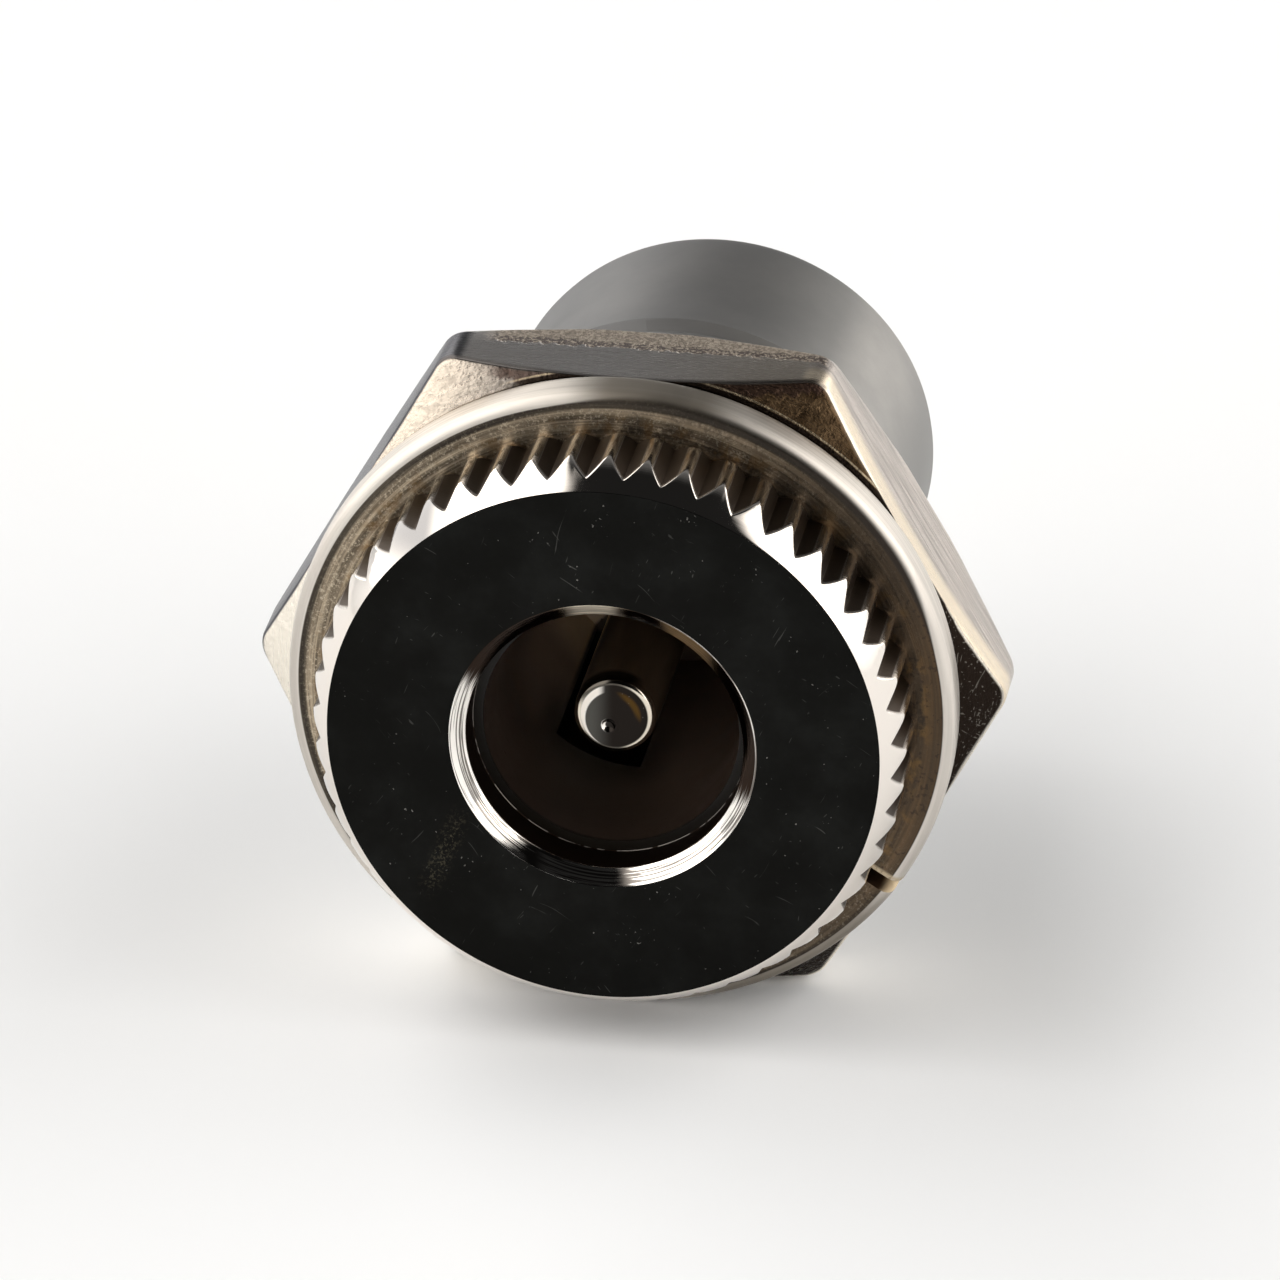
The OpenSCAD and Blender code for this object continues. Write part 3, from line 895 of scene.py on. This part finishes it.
def shell_metal(x, y, z, radius, lines, haze, dulled, grooved):
    """Colour of all the shell but its face, from the crown to the tail, and where the mouth is satin."""
    # A painted grey reflection on the crown at the upper left.
    painted_grey_reflection = x.ramp(-3.7, -4.3) * z.ramp(3.2, 4.8) * z.ramp(4.0, 5.1).between(0.45, 1.0)
    # The grooves' brown is old polish; towards the right it turns to painted shade.
    groove = x.ramp(1.0, 4.0).mix(GROOVE_BROWN, GROOVE_PAINTED_SHADE)
    metal = layered(EDGE_NICKEL, (painted_grey_reflection, CROWN_PAINTED_REFLECTION), (grooved, groove))
    metal, satin = mouth_metal(x, y, z, radius, lines, metal)
    on_barrel = y.ramp(0.0, 0.3) * (radius > CAVITY_R)
    # The tail is painted darker on the left and lighter on the right as light, with some tarnish in it,
    # and a painted highlight streak on its right.
    haze_and_painted_light = haze * 0.25 + x.ramp(-2.0, 6.0)
    streak = x.near(4.4, 1.2, 0.2) * z.ramp(0.0, 2.5) * haze.between(0.5, 1.0)
    tail = layered(TAIL_PAINTED_SHADE, (haze_and_painted_light, TAIL_PAINTED_LIGHT), (streak, TAIL_PAINTED_HIGHLIGHT))
    return layered(metal, (on_barrel, BARREL_NICKEL), (dulled, tail)), satin


# %% Finish of the shell
# The face's near-black colour is a painted dark reflection.
FACE_PAINTED_DARK_REFLECTION = rgb(0.0075, 0.0075, 0.0068)
FACE_HAZE = rgb(0.0135, 0.014, 0.013)
DUST = rgb(0.40, 0.39, 0.36)
SMUDGE = rgb(0.075, 0.066, 0.045)
SMUDGE_COS, SMUDGE_SIN = 0.93, 0.37
MIRROR = 0.06
SATIN = 0.5


def smudge_mask(x, z, place):
    """A broken oily streak on the lower left of the face: near to two lines across each other."""
    across = (x * SMUDGE_COS - z * SMUDGE_SIN).near(-2.43, 0.4, 0.0)
    along = (x * SMUDGE_SIN + z * SMUDGE_COS).near(-4.31, 1.5, 0.4)
    return across * along * place.noise(14.0, 3.0, 0.75).ramp(0.5, 0.64)


def shell_finish():
    """Nickel, with a face painted near black as a dark reflection."""
    material, shader = new_finish("shell_nickel")
    place, x, y, z, radius = place_mm(material)
    grooved = piece_mark(material, "groove")
    lines = place.effect(turning_lines, Lines_per_mm=14.0, Breaks=1.3)
    haze = place.effect(tarnish, Scale=0.45, Spread=0.5)
    hairs = place.effect(scratches, Amount=0.4)
    dust = place.effect(specks, Per_mm=11.0, Amount=0.1)
    on_face = (y < face_y + 0.006) * (radius > bevel_r)
    dulled = y.ramp(SHOULDER_Y - 2.2, SHOULDER_Y - 0.8)
    # The face is painted near black as a dark reflection, under real haze, hairlines, smudge and dust.
    face = layered(
        FACE_PAINTED_DARK_REFLECTION, (haze * haze, FACE_HAZE), (hairs * haze * 0.14, DUST),
        (smudge_mask(x, z, place) * 0.7, SMUDGE), (dust * haze.between(0.1, 0.6), DUST))
    metal, satin = shell_metal(x, y, z, radius, lines, haze, dulled, grooved)
    sheen = y.ramp(0.0, 0.3) * dulled.between(0.28, 0.55)
    gloss = (grooved * 0.3 + MIRROR) | sheen | (satin * SATIN)
    gloss = gloss + dust * on_face * SATIN
    depth = lines * (on_face | dulled).between(1.0, 0.15)
    feed(shader, on_face.mix(metal, face), gloss, depth.bump(0.2, 0.004))
    return material


dress(shell_finish(), shell)

# %% [markdown]
# ## The washer
# The washer's face carries a stain where it lay against oily metal: streaky beige on the left, and a
# deeper brown towards the right with a few amber spots by the knurl, darker still at the upper right and,
# as painted shade, at the lower right. Its rounded rim is rubbed bright, but for painted shade at the top
# and at the lower right, with a dark line where the stain ends. The stain reaches further over the rim's
# round at the top, as painted shade there. The cut faces are painted dark as shade, with bare metal at the
# rim, and one of its cut ends is worn to clean metal. A gradient across the piece sets the stain's depth,
# and turning lines and grain break it up.

# %% Colour of the washer's stain
STAIN_LIGHT = rgb(0.60, 0.49, 0.35)
STAIN_BROWN = rgb(0.102, 0.064, 0.036)
STAIN_DARK = rgb(0.030, 0.026, 0.023)
STAIN_STREAK = rgb(0.060, 0.046, 0.033)
STAIN_GRAIN = rgb(0.62, 0.53, 0.40)
AMBER = rgb(0.20, 0.12, 0.05)

stain_end = washer_out_r - WASHER_ROUND + 0.05
print(f"stained up to {stain_end:.2f} mm from the axis")


def stain_colour(place, x, z, radius, lines, grain, cloud):
    """The face's stain, from streaky beige to brown. The dark line at its outer edge is widest on the
    left."""
    browned = x.ramp(-4.0, 8.5)
    grainy = (1 - browned) | (z.ramp(-3.0, -5.5) * 0.4)
    grit = place.effect(specks, Per_mm=9.0, Amount=0.8) * browned.between(0.15, 0.5)
    spots = cloud.ramp(0.5, 0.9) * radius.ramp(7.65, 7.3)
    line_start = browned.between(stain_end - 0.19, stain_end - 0.06)
    dark_line = radius.ramp(line_start, line_start + 0.1)
    fine = place.effect(turning_lines, Lines_per_mm=24.0, Breaks=3.0)
    return layered(
        STAIN_LIGHT, (browned, STAIN_BROWN), (lines * 0.9, STAIN_STREAK),
        (fine * (1 - browned) * 0.6, STAIN_STREAK), (grain * grainy * 0.7, STAIN_GRAIN),
        (spots * 0.6, AMBER), (grit, STAIN_DARK), (dark_line * 0.85, STAIN_DARK))


# %% Finish of the washer
RIM_NICKEL = rgb(0.70, 0.655, 0.60)
RIM_LINE = rgb(0.36, 0.33, 0.29)
RIM_PAINTED_SHADE = rgb(0.20, 0.175, 0.14)
CUT_METAL = rgb(0.54, 0.44, 0.30)
CUT_PAINTED_SHADE = rgb(0.050, 0.028, 0.017)


def washer_finish():
    """Bright rim, and a face with a stain from beige on the left to dark brown on the right."""
    material, shader = new_finish("washer_nickel")
    place, x, y, z, radius = place_mm(material)
    lines = place.effect(turning_lines, Lines_per_mm=9.0, Breaks=1.6)
    cloud = place.effect(tarnish, Scale=1.1, Spread=0.35)
    grain = place.noise(13.0, 3.0, 0.75).ramp(0.5, 0.66)
    # At the top the stain reaches further over the rim's round, as painted shade over the rim's highlight.
    rim_top_painted_shade = x.ramp(-2.0, 0.8) * z.ramp(1.5, 4.5)
    stain_start = rim_top_painted_shade * 0.10 + stain_end
    stain_limit = rim_top_painted_shade * 0.24 + (stain_end + 0.03)
    on_face = radius.ramp(stain_limit, stain_start) * (y < washer_middle)
    # Painted shade on the rim at the lower right and at the top, and on the stain at the lower right.
    painted_shade_low_right = z.ramp(-4.0, -5.6) * x.ramp(1.0, 3.0)
    high_right = z.ramp(1.5, 4.0) * x.ramp(2.5, 5.0)
    at_top = x.near(0.8, 2.3, 1.0) * z.ramp(4.5, 6.5)
    painted_shade = (painted_shade_low_right * 0.8) | (at_top * 0.85)
    rubbed = layered(RIM_NICKEL, (lines * 0.45, RIM_LINE), (painted_shade, RIM_PAINTED_SHADE))
    stain = stain_colour(place, x, z, radius, lines, grain, cloud)
    # The stain is painted darker at the lower right as shade, and darker at the upper right.
    stain = ((painted_shade_low_right | high_right) * 0.42).mix(stain, STAIN_DARK)
    # The cut faces are painted dark as shade, with bare metal at the rim.
    cut_face = radius.ramp(7.7, 7.95).mix(CUT_PAINTED_SHADE, CUT_METAL)
    worn = piece_mark(material, "worn") * grain.between(0.9, 0.3)
    colour = layered(rubbed, (on_face, stain), (piece_mark(material, "cut"), cut_face), (worn, CUT_METAL))
    gloss = cloud.between(0.0, 0.05) + on_face.between(0.43, 0.33)
    height = (grain * 0.5 + lines) * on_face.between(0.22, 1.0)
    feed(shader, colour, gloss, height.bump(0.3, 0.008))
    return material


dress(washer_finish(), washer)

# %% [markdown]
# ## The nut
# The nut's flats were ground, and keep fine lines that run round the nut. The upper flats get painted
# light and shade of their own. The chamfers are hammered and torn where the cutter pushed through, and on
# the top flat a rough brown band runs along the rear edge. The chamfers on the right are painted nearly
# black as a dark reflection, and there is painted shade under the top flat and at the brim. On a
# chamfer, height follows radius by the cone's slope, so the distance from that cone tells a chamfer from
# a flat. The camera only grazes the flat at the upper left, and any metal turns bright at that angle. A
# darker colour can't change this, so the tint that the shader has for grazing light is lowered there.

# %% Colours of the nut's flats, band and chamfers
NUT_NICKEL = rgb(0.90, 0.835, 0.73)
LINED_FLAT = rgb(0.36, 0.35, 0.34)
LEFT_FLAT_PAINTED_SHADE = rgb(0.100, 0.100, 0.105)
RIGHT_FLAT_PAINTED_LIGHT = rgb(0.60, 0.53, 0.48)
RIGHT_FLAT_PAINTED_LIGHT_LINE = rgb(0.28, 0.25, 0.225)
FLAT_EDGE_PAINTED_HIGHLIGHT = rgb(0.80, 0.69, 0.54)
TOP_FLAT_PAINTED_SHADE = rgb(0.45, 0.43, 0.425)
TOP_FLAT_PAINTED_SHADE_BROWN = rgb(0.39, 0.34, 0.285)
EDGE_PAINTED_SHADE = rgb(0.09, 0.08, 0.075)
TORN_DARK = rgb(0.055, 0.033, 0.026)
TORN_SHADE = rgb(0.20, 0.16, 0.12)
TORN_LIGHT = rgb(0.46, 0.39, 0.31)
STRUCK_CREAM = rgb(0.64, 0.555, 0.46)
STRUCK_GREY = rgb(0.20, 0.18, 0.165)
PITTED = rgb(0.13, 0.11, 0.09)
BROWN_DARK = rgb(0.050, 0.031, 0.016)
BROWN_LIGHT = rgb(0.24, 0.155, 0.085)
BRIM_GOLD = rgb(0.38, 0.31, 0.21)
NUT_PAINTED_DARK = rgb(0.017, 0.012, 0.009)
BAND_W = 1.05
BAND_FRONT = 0.3
COS_30, SIN_30 = np.cos(HALF_SIDE), np.sin(HALF_SIDE)


def on_upper_flat(x, z, share_x):
    """A mask of one of the two slanting upper flats, by how far a point reaches the way it faces."""
    return (x * share_x + z * SIN_30).ramp(nut_flat - 0.5, nut_flat - 0.3)


def on_top_flat(z):
    """A mask of the top flat."""
    return z.ramp(nut_flat - 0.12, nut_flat - 0.03)


def flat_colour(x, y, z, off_cone, chamfer, ground, end_lines):
    """Flats with ground lines and a rear face with turned ones. The flat at the upper left is painted grey
    as shade, the one at the upper right gets a warm painted light behind a painted cream highlight at its
    front edge, and the top one is painted as shade from grey to brown, with painted shade along its front
    edge."""
    on_end = y.ramp(nut_back - 0.2, nut_back - 0.02)
    ground = ground * off_cone.ramp(0.12, 0.26) * (1 - on_end) * 0.85
    lined = ground | (end_lines * on_end * 0.4)
    # The top flat is painted as shade, from grey on the left to brown on the right.
    dull = x.ramp(-1.0, 4.5).mix(TOP_FLAT_PAINTED_SHADE, TOP_FLAT_PAINTED_SHADE_BROWN)
    # The upper right flat gets warm painted light, with a painted highlight at its front edge.
    warm = layered(RIGHT_FLAT_PAINTED_LIGHT, (ground, RIGHT_FLAT_PAINTED_LIGHT_LINE), (off_cone.ramp(0.95, 0.5), FLAT_EDGE_PAINTED_HIGHLIGHT))
    # The upper left flat is painted grey as shade.
    left, right = (on_upper_flat(x, z, share_x) * (1 - chamfer) for share_x in (-COS_30, COS_30))
    # Painted shade along the front edge of the top flat.
    front_edge = z.ramp(nut_flat - 0.3, nut_flat - 0.15) * off_cone.ramp(0.22, 0.06)
    return layered(
        NUT_NICKEL, (lined, LINED_FLAT), (on_top_flat(z) * 0.85, dull), (left, LEFT_FLAT_PAINTED_SHADE), (right, warm),
        (front_edge * 0.8, EDGE_PAINTED_SHADE))


def band_colour(x, y, z, hammered, torn, colour):
    """Adds the torn band on the top flat, with a ragged dark front, and gives its mask too."""
    ragged = hammered * 0.5 + y
    start = nut_back - BAND_W + 0.2
    front = start + BAND_FRONT
    band = on_top_flat(z) * ragged.ramp(start, start + 0.1) * x.ramp(-4.1, -3.3)
    at_front = ragged.ramp(front + 0.1, front) * torn.ramp(0.58, 0.5)
    speckle = layered(TORN_SHADE, (torn.ramp(0.42, 0.58), TORN_LIGHT), (at_front, TORN_DARK))
    return (band * 0.85).mix(colour, speckle), band


def chamfer_colour(place, x, z, radius, off_cone, chamfer, hammered, torn, colour):
    """Adds the chamfers: struck at the upper left, from cream to grey with pits, blotched brown at the
    upper right, with a ragged line of painted shade under the top flat, painted shadow at the brim and a
    golden line at the brim, and painted nearly black on the right as a dark reflection, where only
    scratches and the worn edge are bright."""
    upper = chamfer * z.ramp(2.0, 4.0)
    inward = x.ramp(-5.5, -2.0)
    pits = (torn.ramp(0.5, 0.4) * 0.6) | (hammered.ramp(0.44, 0.36) * 0.7)
    pits = pits * inward.between(0.3, 1.0)
    struck = layered(STRUCK_CREAM, (inward, STRUCK_GREY), (pits, PITTED))
    blotches = place.effect(tarnish, Scale=1.3, Spread=0.3) * x.ramp(6.0, 3.0)
    brown = blotches.mix(BROWN_DARK, BROWN_LIGHT)
    jagged = hammered * 0.5 + z
    # Painted shade in a ragged line on the chamfer under the top flat.
    painted_shade_under_top = jagged.ramp(nut_flat - 0.12, nut_flat + 0.02) * x.ramp(-3.7, -3.0)
    at_brim = upper * x.ramp(-3.2, -2.4)
    # Painted shadow in a line at the brim of the upper chamfers.
    painted_shadow_in_gap = at_brim * radius.ramp(cone + 0.07, cone + 0.04)
    on_brim = at_brim * radius.near(cone + 0.085, 0.03, 0.005) * 0.8
    marks = place.effect(specks, Per_mm=11.0, Amount=0.5) | place.effect(scratches, Amount=0.7)
    # The chamfers on the right are painted nearly black as a dark reflection, a little less where specks
    # and scratches are.
    painted_dark_right = off_cone.ramp(0.035, 0.015) * (x * 0.94 - z * 0.34).ramp(4.2, 5.4)
    return layered(
        colour, (upper, struck), (upper * x.ramp(0.0, 1.6), brown), (upper * painted_shade_under_top * 0.85, TORN_DARK),
        (painted_shadow_in_gap, NUT_PAINTED_DARK), (on_brim, BRIM_GOLD), (painted_dark_right * marks.between(1.0, 0.88), NUT_PAINTED_DARK))


# %% Finish of the nut
NO_TINT = rgb(1.0, 1.0, 1.0)
LEFT_GRAZING = rgb(0.70, 0.70, 0.72)


def nut_finish():
    """Ground flats, hammered chamfers, and a torn band along the rear edge of the top flat."""
    material, shader = new_finish("nut_nickel")
    place, x, y, z, radius = place_mm(material)
    along_bar = {"Vector": place, "Scale": (0.5, 24.0, 0.5)}
    brushed = add_node(material.node_tree, "ShaderNodeMapping", along_bar).noise(1.0, 3.0, 0.65)
    hammered = place.noise(4.0, 3.0, 0.6)
    torn = place.noise(12.0, 3.0, 0.7)
    end_lines = place.effect(turning_lines, Lines_per_mm=7.0, Breaks=1.2)
    off_cone = y - nut_front - (radius - cone) * CHAMFER_SLOPE
    chamfer = off_cone.ramp(0.055, 0.02)
    colour = flat_colour(x, y, z, off_cone, chamfer, brushed.ramp(0.38, 0.62), end_lines)
    colour = chamfer_colour(place, x, z, radius, off_cone, chamfer, hammered, torn, colour)
    colour, band = band_colour(x, y, z, hammered, torn, colour)
    tint = on_upper_flat(x, z, -COS_30).mix(NO_TINT, LEFT_GRAZING)
    tint.to(shader["Specular Tint"])
    gloss = band * 0.2 + brushed * 0.2 + 0.18
    dents = (torn * 0.5 + hammered) * chamfer + torn * band * 0.6
    height = brushed * 0.12 + dents
    feed(shader, colour, gloss, height.bump(0.7, 0.06))
    return material


dress(nut_finish(), nut)

# %% [markdown]
# ## The pin, the core and the contacts
# The pin is bright turned nickel. The flat on its tip is polished and, like the shell's face, painted
# dark as a reflection, with a painted bright crescent, a painted amber arc of reflection and a painted
# glint in the dimple, and its round edge is painted dark above and below. The core is black plastic with
# the faint flow marks of its mould. Its bore is browner deeper in, with a patch of painted light by the
# floor on the left, up to the edge of the pin's shade, and painted shade round the contact's slot and in
# it. The contacts are punched from tinned strip, which is dull and slightly blotched, and painted dark as
# shade where the leaf stands in the bore.

# %% Finish of the pin
PIN_NICKEL = rgb(0.77, 0.70, 0.585)
TIP_PAINTED_DARK_REFLECTION = rgb(0.017, 0.014, 0.012)
TIP_PAINTED_LIGHT = rgb(0.075, 0.073, 0.066)
TIP_PAINTED_AMBER_REFLECTION = rgb(0.075, 0.042, 0.012)
TIP_PAINTED_HIGHLIGHT = rgb(0.98, 0.93, 0.86)
TIP_R = 0.82
INNER_R = 0.78
INNER_X, INNER_Z = 0.06, -0.10
AMBER_R = 0.56


def tip_colour(x, z, radius, crescent):
    """The flat on the tip, painted dark as a reflection, with painted light to the left: a crescent and
    the left side of the dimple get a painted highlight, and an arc at the upper right a painted amber
    reflection."""
    dimple_x, dimple_z = DIMPLE_AT
    off_dimple = axis_radius(x - dimple_x, z - dimple_z)
    # A painted highlight on the left side of the dimple.
    glint = x.ramp(dimple_x - 0.03, dimple_x - 0.09) * off_dimple.near(DIMPLE_R - 0.05, 0.06, 0.03)
    # A painted amber reflection in an arc at the upper right.
    amber = radius.near(AMBER_R, 0.13, 0.03) * (x * 0.8 + z * 0.6).ramp(0.38, 0.55)
    bright = glint | crescent
    return layered(TIP_PAINTED_DARK_REFLECTION, (x.ramp(0.0, -0.6), TIP_PAINTED_LIGHT), (amber, TIP_PAINTED_AMBER_REFLECTION), (bright, TIP_PAINTED_HIGHLIGHT))


def pin_finish():
    """Bright turned nickel with a polished flat on the tip, painted dark as a reflection. A circle off the
    middle leaves a painted bright crescent at the flat's upper left. The tip's round edge is painted dark
    above and below as a reflection."""
    material, shader = new_finish("pin_nickel")
    place, x, y, z, radius = place_mm(material)
    lines = place.effect(turning_lines, Lines_per_mm=16.0, Breaks=1.0)
    dust = place.effect(specks, Per_mm=12.0, Amount=0.15)
    on_tip = (y < tip_y + DIMPLE_DEPTH + 0.02) * radius.ramp(TIP_R + 0.02, TIP_R - 0.02)
    off_inner = axis_radius(x - INNER_X, z - INNER_Z)
    # A painted highlight in a crescent at the flat's upper left.
    crescent = on_tip * x.ramp(-0.2, -0.42) * off_inner.ramp(INNER_R - 0.04, INNER_R)
    # The tip's round edge is painted dark above and below as a reflection.
    below = z.ramp(-0.25, -0.6) * x.ramp(0.45, 0.1)
    above = (z * 0.94 - x * 0.35).ramp(0.4, 0.75)
    dull = (above | below) * y.ramp(tip_y + 0.6, tip_y + 0.3) * 0.9
    tip = tip_colour(x, z, radius, crescent)
    colour = layered(PIN_NICKEL, (dull, TIP_PAINTED_DARK_REFLECTION), (on_tip, tip), (dust * 0.6, DUST))
    gloss = lines.between(0.08, 0.16) | (crescent * 0.6)
    feed(shader, colour, gloss, lines.bump(0.15, 0.003))
    return material


dress(pin_finish(), pin)

# %% Finish of the core
CORE_BLACK = rgb(0.017, 0.013, 0.011)
CORE_GREY = rgb(0.026, 0.021, 0.018)
CORE_FRONT = rgb(0.008, 0.006, 0.004)
BORE_BLACK = rgb(0.036, 0.024, 0.018)
BORE_BROWN = rgb(0.20, 0.135, 0.10)
BORE_PAINTED_DIM_LIGHT = rgb(0.52, 0.38, 0.28)
BORE_PAINTED_LIGHT = rgb(0.95, 0.76, 0.54)
BORE_REACH = (4.4, 4.2)
SLOT_ANGLE = np.radians(250)


def bore_colour(x, y, z, radius, cloud):
    """The bore gets browner down to its floor, with a pale patch of painted light on the left that ends at
    the edge of the pin's shade. It has painted shade round the front of the contact's slot, and is painted
    black in the slot as shade."""
    brown = y.ramp(-1.0, 5.0) * cloud.between(0.7, 1.0)
    # A painted pool of light on the lower left wall of the bore, up to the edge of the pin's shade, palest
    # by the floor.
    off_shade = x * 0.737 - z * 0.676
    painted_lit_patch = off_shade.ramp(0.06, -0.06) * x.ramp(-1.0, -1.8) * z.ramp(0.0, -1.2)
    # Painted shade round the front of the contact's slot.
    across_slot = z * np.cos(SLOT_ANGLE) - x * np.sin(SLOT_ANGLE)
    painted_shade_by_slot = across_slot.near(0.0, 2.0, 1.1) * z.ramp(-1.0, -2.0) * y.ramp(1.2, 2.8) * y.ramp(5.8, 3.4)
    # The last layer paints the slot black as shade.
    return layered(
        BORE_BLACK, (brown, BORE_BROWN), (painted_lit_patch * y.ramp(1.6, 6.5), BORE_PAINTED_DIM_LIGHT),
        (painted_lit_patch * y.ramp(6.0, 7.8), BORE_PAINTED_LIGHT), (painted_shade_by_slot * 0.85, BORE_BLACK),
        (radius.ramp(3.2, 3.4), CORE_FRONT))


def core_finish():
    """Black moulded plastic with a brown bore that has painted light and shade in it."""
    material, shader = new_finish("core_plastic")
    place, x, y, z, radius = place_mm(material)
    cloud = place.effect(tarnish, Scale=0.8, Spread=0.5)
    hairs = place.effect(scratches, Amount=0.5)
    in_bore = y.ramp(BORE_FLOOR + 0.6, BORE_FLOOR + 0.2) * radius.ramp(*BORE_REACH)
    bore = bore_colour(x, y, z, radius, cloud)
    at_front = y.ramp(core_low[1] + 0.12, core_low[1] + 0.04)
    colour = layered(CORE_BLACK, (cloud, CORE_GREY), (in_bore, bore), (at_front, CORE_FRONT))
    shader["Specular IOR Level"].default_value = 0.2
    gloss = hairs * 0.2 + cloud.between(0.3, 0.42)
    feed(shader, colour, gloss, cloud.bump(0.15, 0.02), metallic=0.0)
    return material


dress(core_finish(), core)

# %% Finish of the contacts
TIN = rgb(0.62, 0.60, 0.56)
TIN_DULL = rgb(0.36, 0.34, 0.31)
LEAF_PAINTED_SHADE = rgb(0.045, 0.032, 0.023)


def tin_finish():
    """Dull tinned strip, painted dark as shade in the bore."""
    material, shader = new_finish("dull_tin")
    place, _, y, _, radius = place_mm(material)
    cloud = place.effect(tarnish, Scale=1.6, Spread=0.6)
    hairs = place.effect(scratches, Amount=0.9)
    # Painted shade on the leaf where it stands in the bore.
    in_bore = y.ramp(BORE_FLOOR + 0.1, BORE_FLOOR - 0.1) * radius.ramp(*BORE_REACH)
    colour = layered(TIN, (cloud, TIN_DULL), (in_bore, LEAF_PAINTED_SHADE))
    gloss = hairs * 0.15 + cloud.between(0.24, 0.42)
    height = cloud - hairs * 0.6
    feed(shader, colour, gloss, height.bump(0.25, 0.01))
    return material


dress(tin_finish(), *contacts)

# %% [markdown]
# ## The floor
# The socket lies on a sheet of white paper, which turns up far away so that a low camera sees paper
# too. It is a surface of revolution: flat in the middle and a quarter of a wide round at its edge.

# %% Roll out the floor
FLOOR_R = 900.0
FLOOR_TURN_UP = 160.0
FLOOR_COLUMNS = 128
PAPER = rgb(0.905, 0.92, 0.94)

floor_z = -washer_out_r - 0.01
turn_up = np.linspace(0, np.pi / 2, 13)
floor_r = np.concatenate([[1.0, FLOOR_R / 2], FLOOR_R + FLOOR_TURN_UP * np.sin(turn_up)])
floor_h = np.concatenate([[floor_z, floor_z], floor_z + FLOOR_TURN_UP * (1 - np.cos(turn_up))])
floor_angles = np.linspace(0, 2 * np.pi, FLOOR_COLUMNS, endpoint=False)
floor_grid = carry_round(np.stack([floor_r, floor_h], axis=-1)[:, None], floor_angles)[..., [0, 2, 1]]
floor_numbers = numbered(floor_grid)
floor_points = np.concatenate([floor_grid.reshape(-1, 3), [[0, 0, floor_z]]])
floor_faces = skin(closed_columns(np.vstack([np.full(FLOOR_COLUMNS, floor_numbers.size), floor_numbers])))
floor_mesh = bpy.data.meshes.new("paper_floor")
floor_mesh.from_pydata((floor_points * MM).tolist(), [], floor_faces.tolist(), shade_flat=False)
floor = bpy.data.objects.new("paper_floor", floor_mesh)
bpy.context.scene.collection.objects.link(floor)

paper, paper_inputs = new_finish("white_paper")
paper_inputs["Base Color"].default_value = PAPER
paper_inputs["Roughness"].default_value = 0.9
floor_mesh.materials.append(paper)
print("floor at", round(float(floor_z), 2), "mm")

# %% [markdown]
# ## The light
# Polished metal shows its surroundings, so the light has to have a shape. Two broad soft boxes, one on
# each side, stand in for lamps with diffusers, and it is dim above, in front and behind. That is what
# puts the white bands on both sides of the head and leaves its top dark. The boxes are painted on the
# world by direction, so they light every view in the same way. The left one reaches further over the
# socket, and the right one leans back a little.

# %% Paint two soft boxes on the world
BOX_LIGHT = rgb(1.0, 0.975, 0.94)
BOX_STRENGTH = 2.4
DIM_FRONT = rgb(0.012, 0.012, 0.012)
DIM_BACK = rgb(0.17, 0.17, 0.17)
LEFT_BOX = (-0.27, -0.39)
RIGHT_BOX = (0.47, 0.63)
RIGHT_LEAN = 0.13

world = bpy.data.worlds.new("soft_boxes")
bpy.context.scene.world = world
world.use_nodes = True
sky = world.node_tree
direction = add_node(sky, "ShaderNodeTexCoord", output="Generated")
sky_x, sky_y, _ = direction.parts()
leaning_x = sky_y * RIGHT_LEAN + sky_x
beside = leaning_x.ramp(*RIGHT_BOX) | sky_x.ramp(*LEFT_BOX)
dim = sky_y.ramp(0.2, 0.8).mix(DIM_FRONT, DIM_BACK)
bright = tuple(BOX_STRENGTH * part for part in BOX_LIGHT[:3]) + (1.0,)
beside.mix(dim, bright).to(sky.nodes["Background"].inputs["Color"])
bpy.context.scene.view_settings.view_transform = "Standard"
print("soft boxes of strength", BOX_STRENGTH)
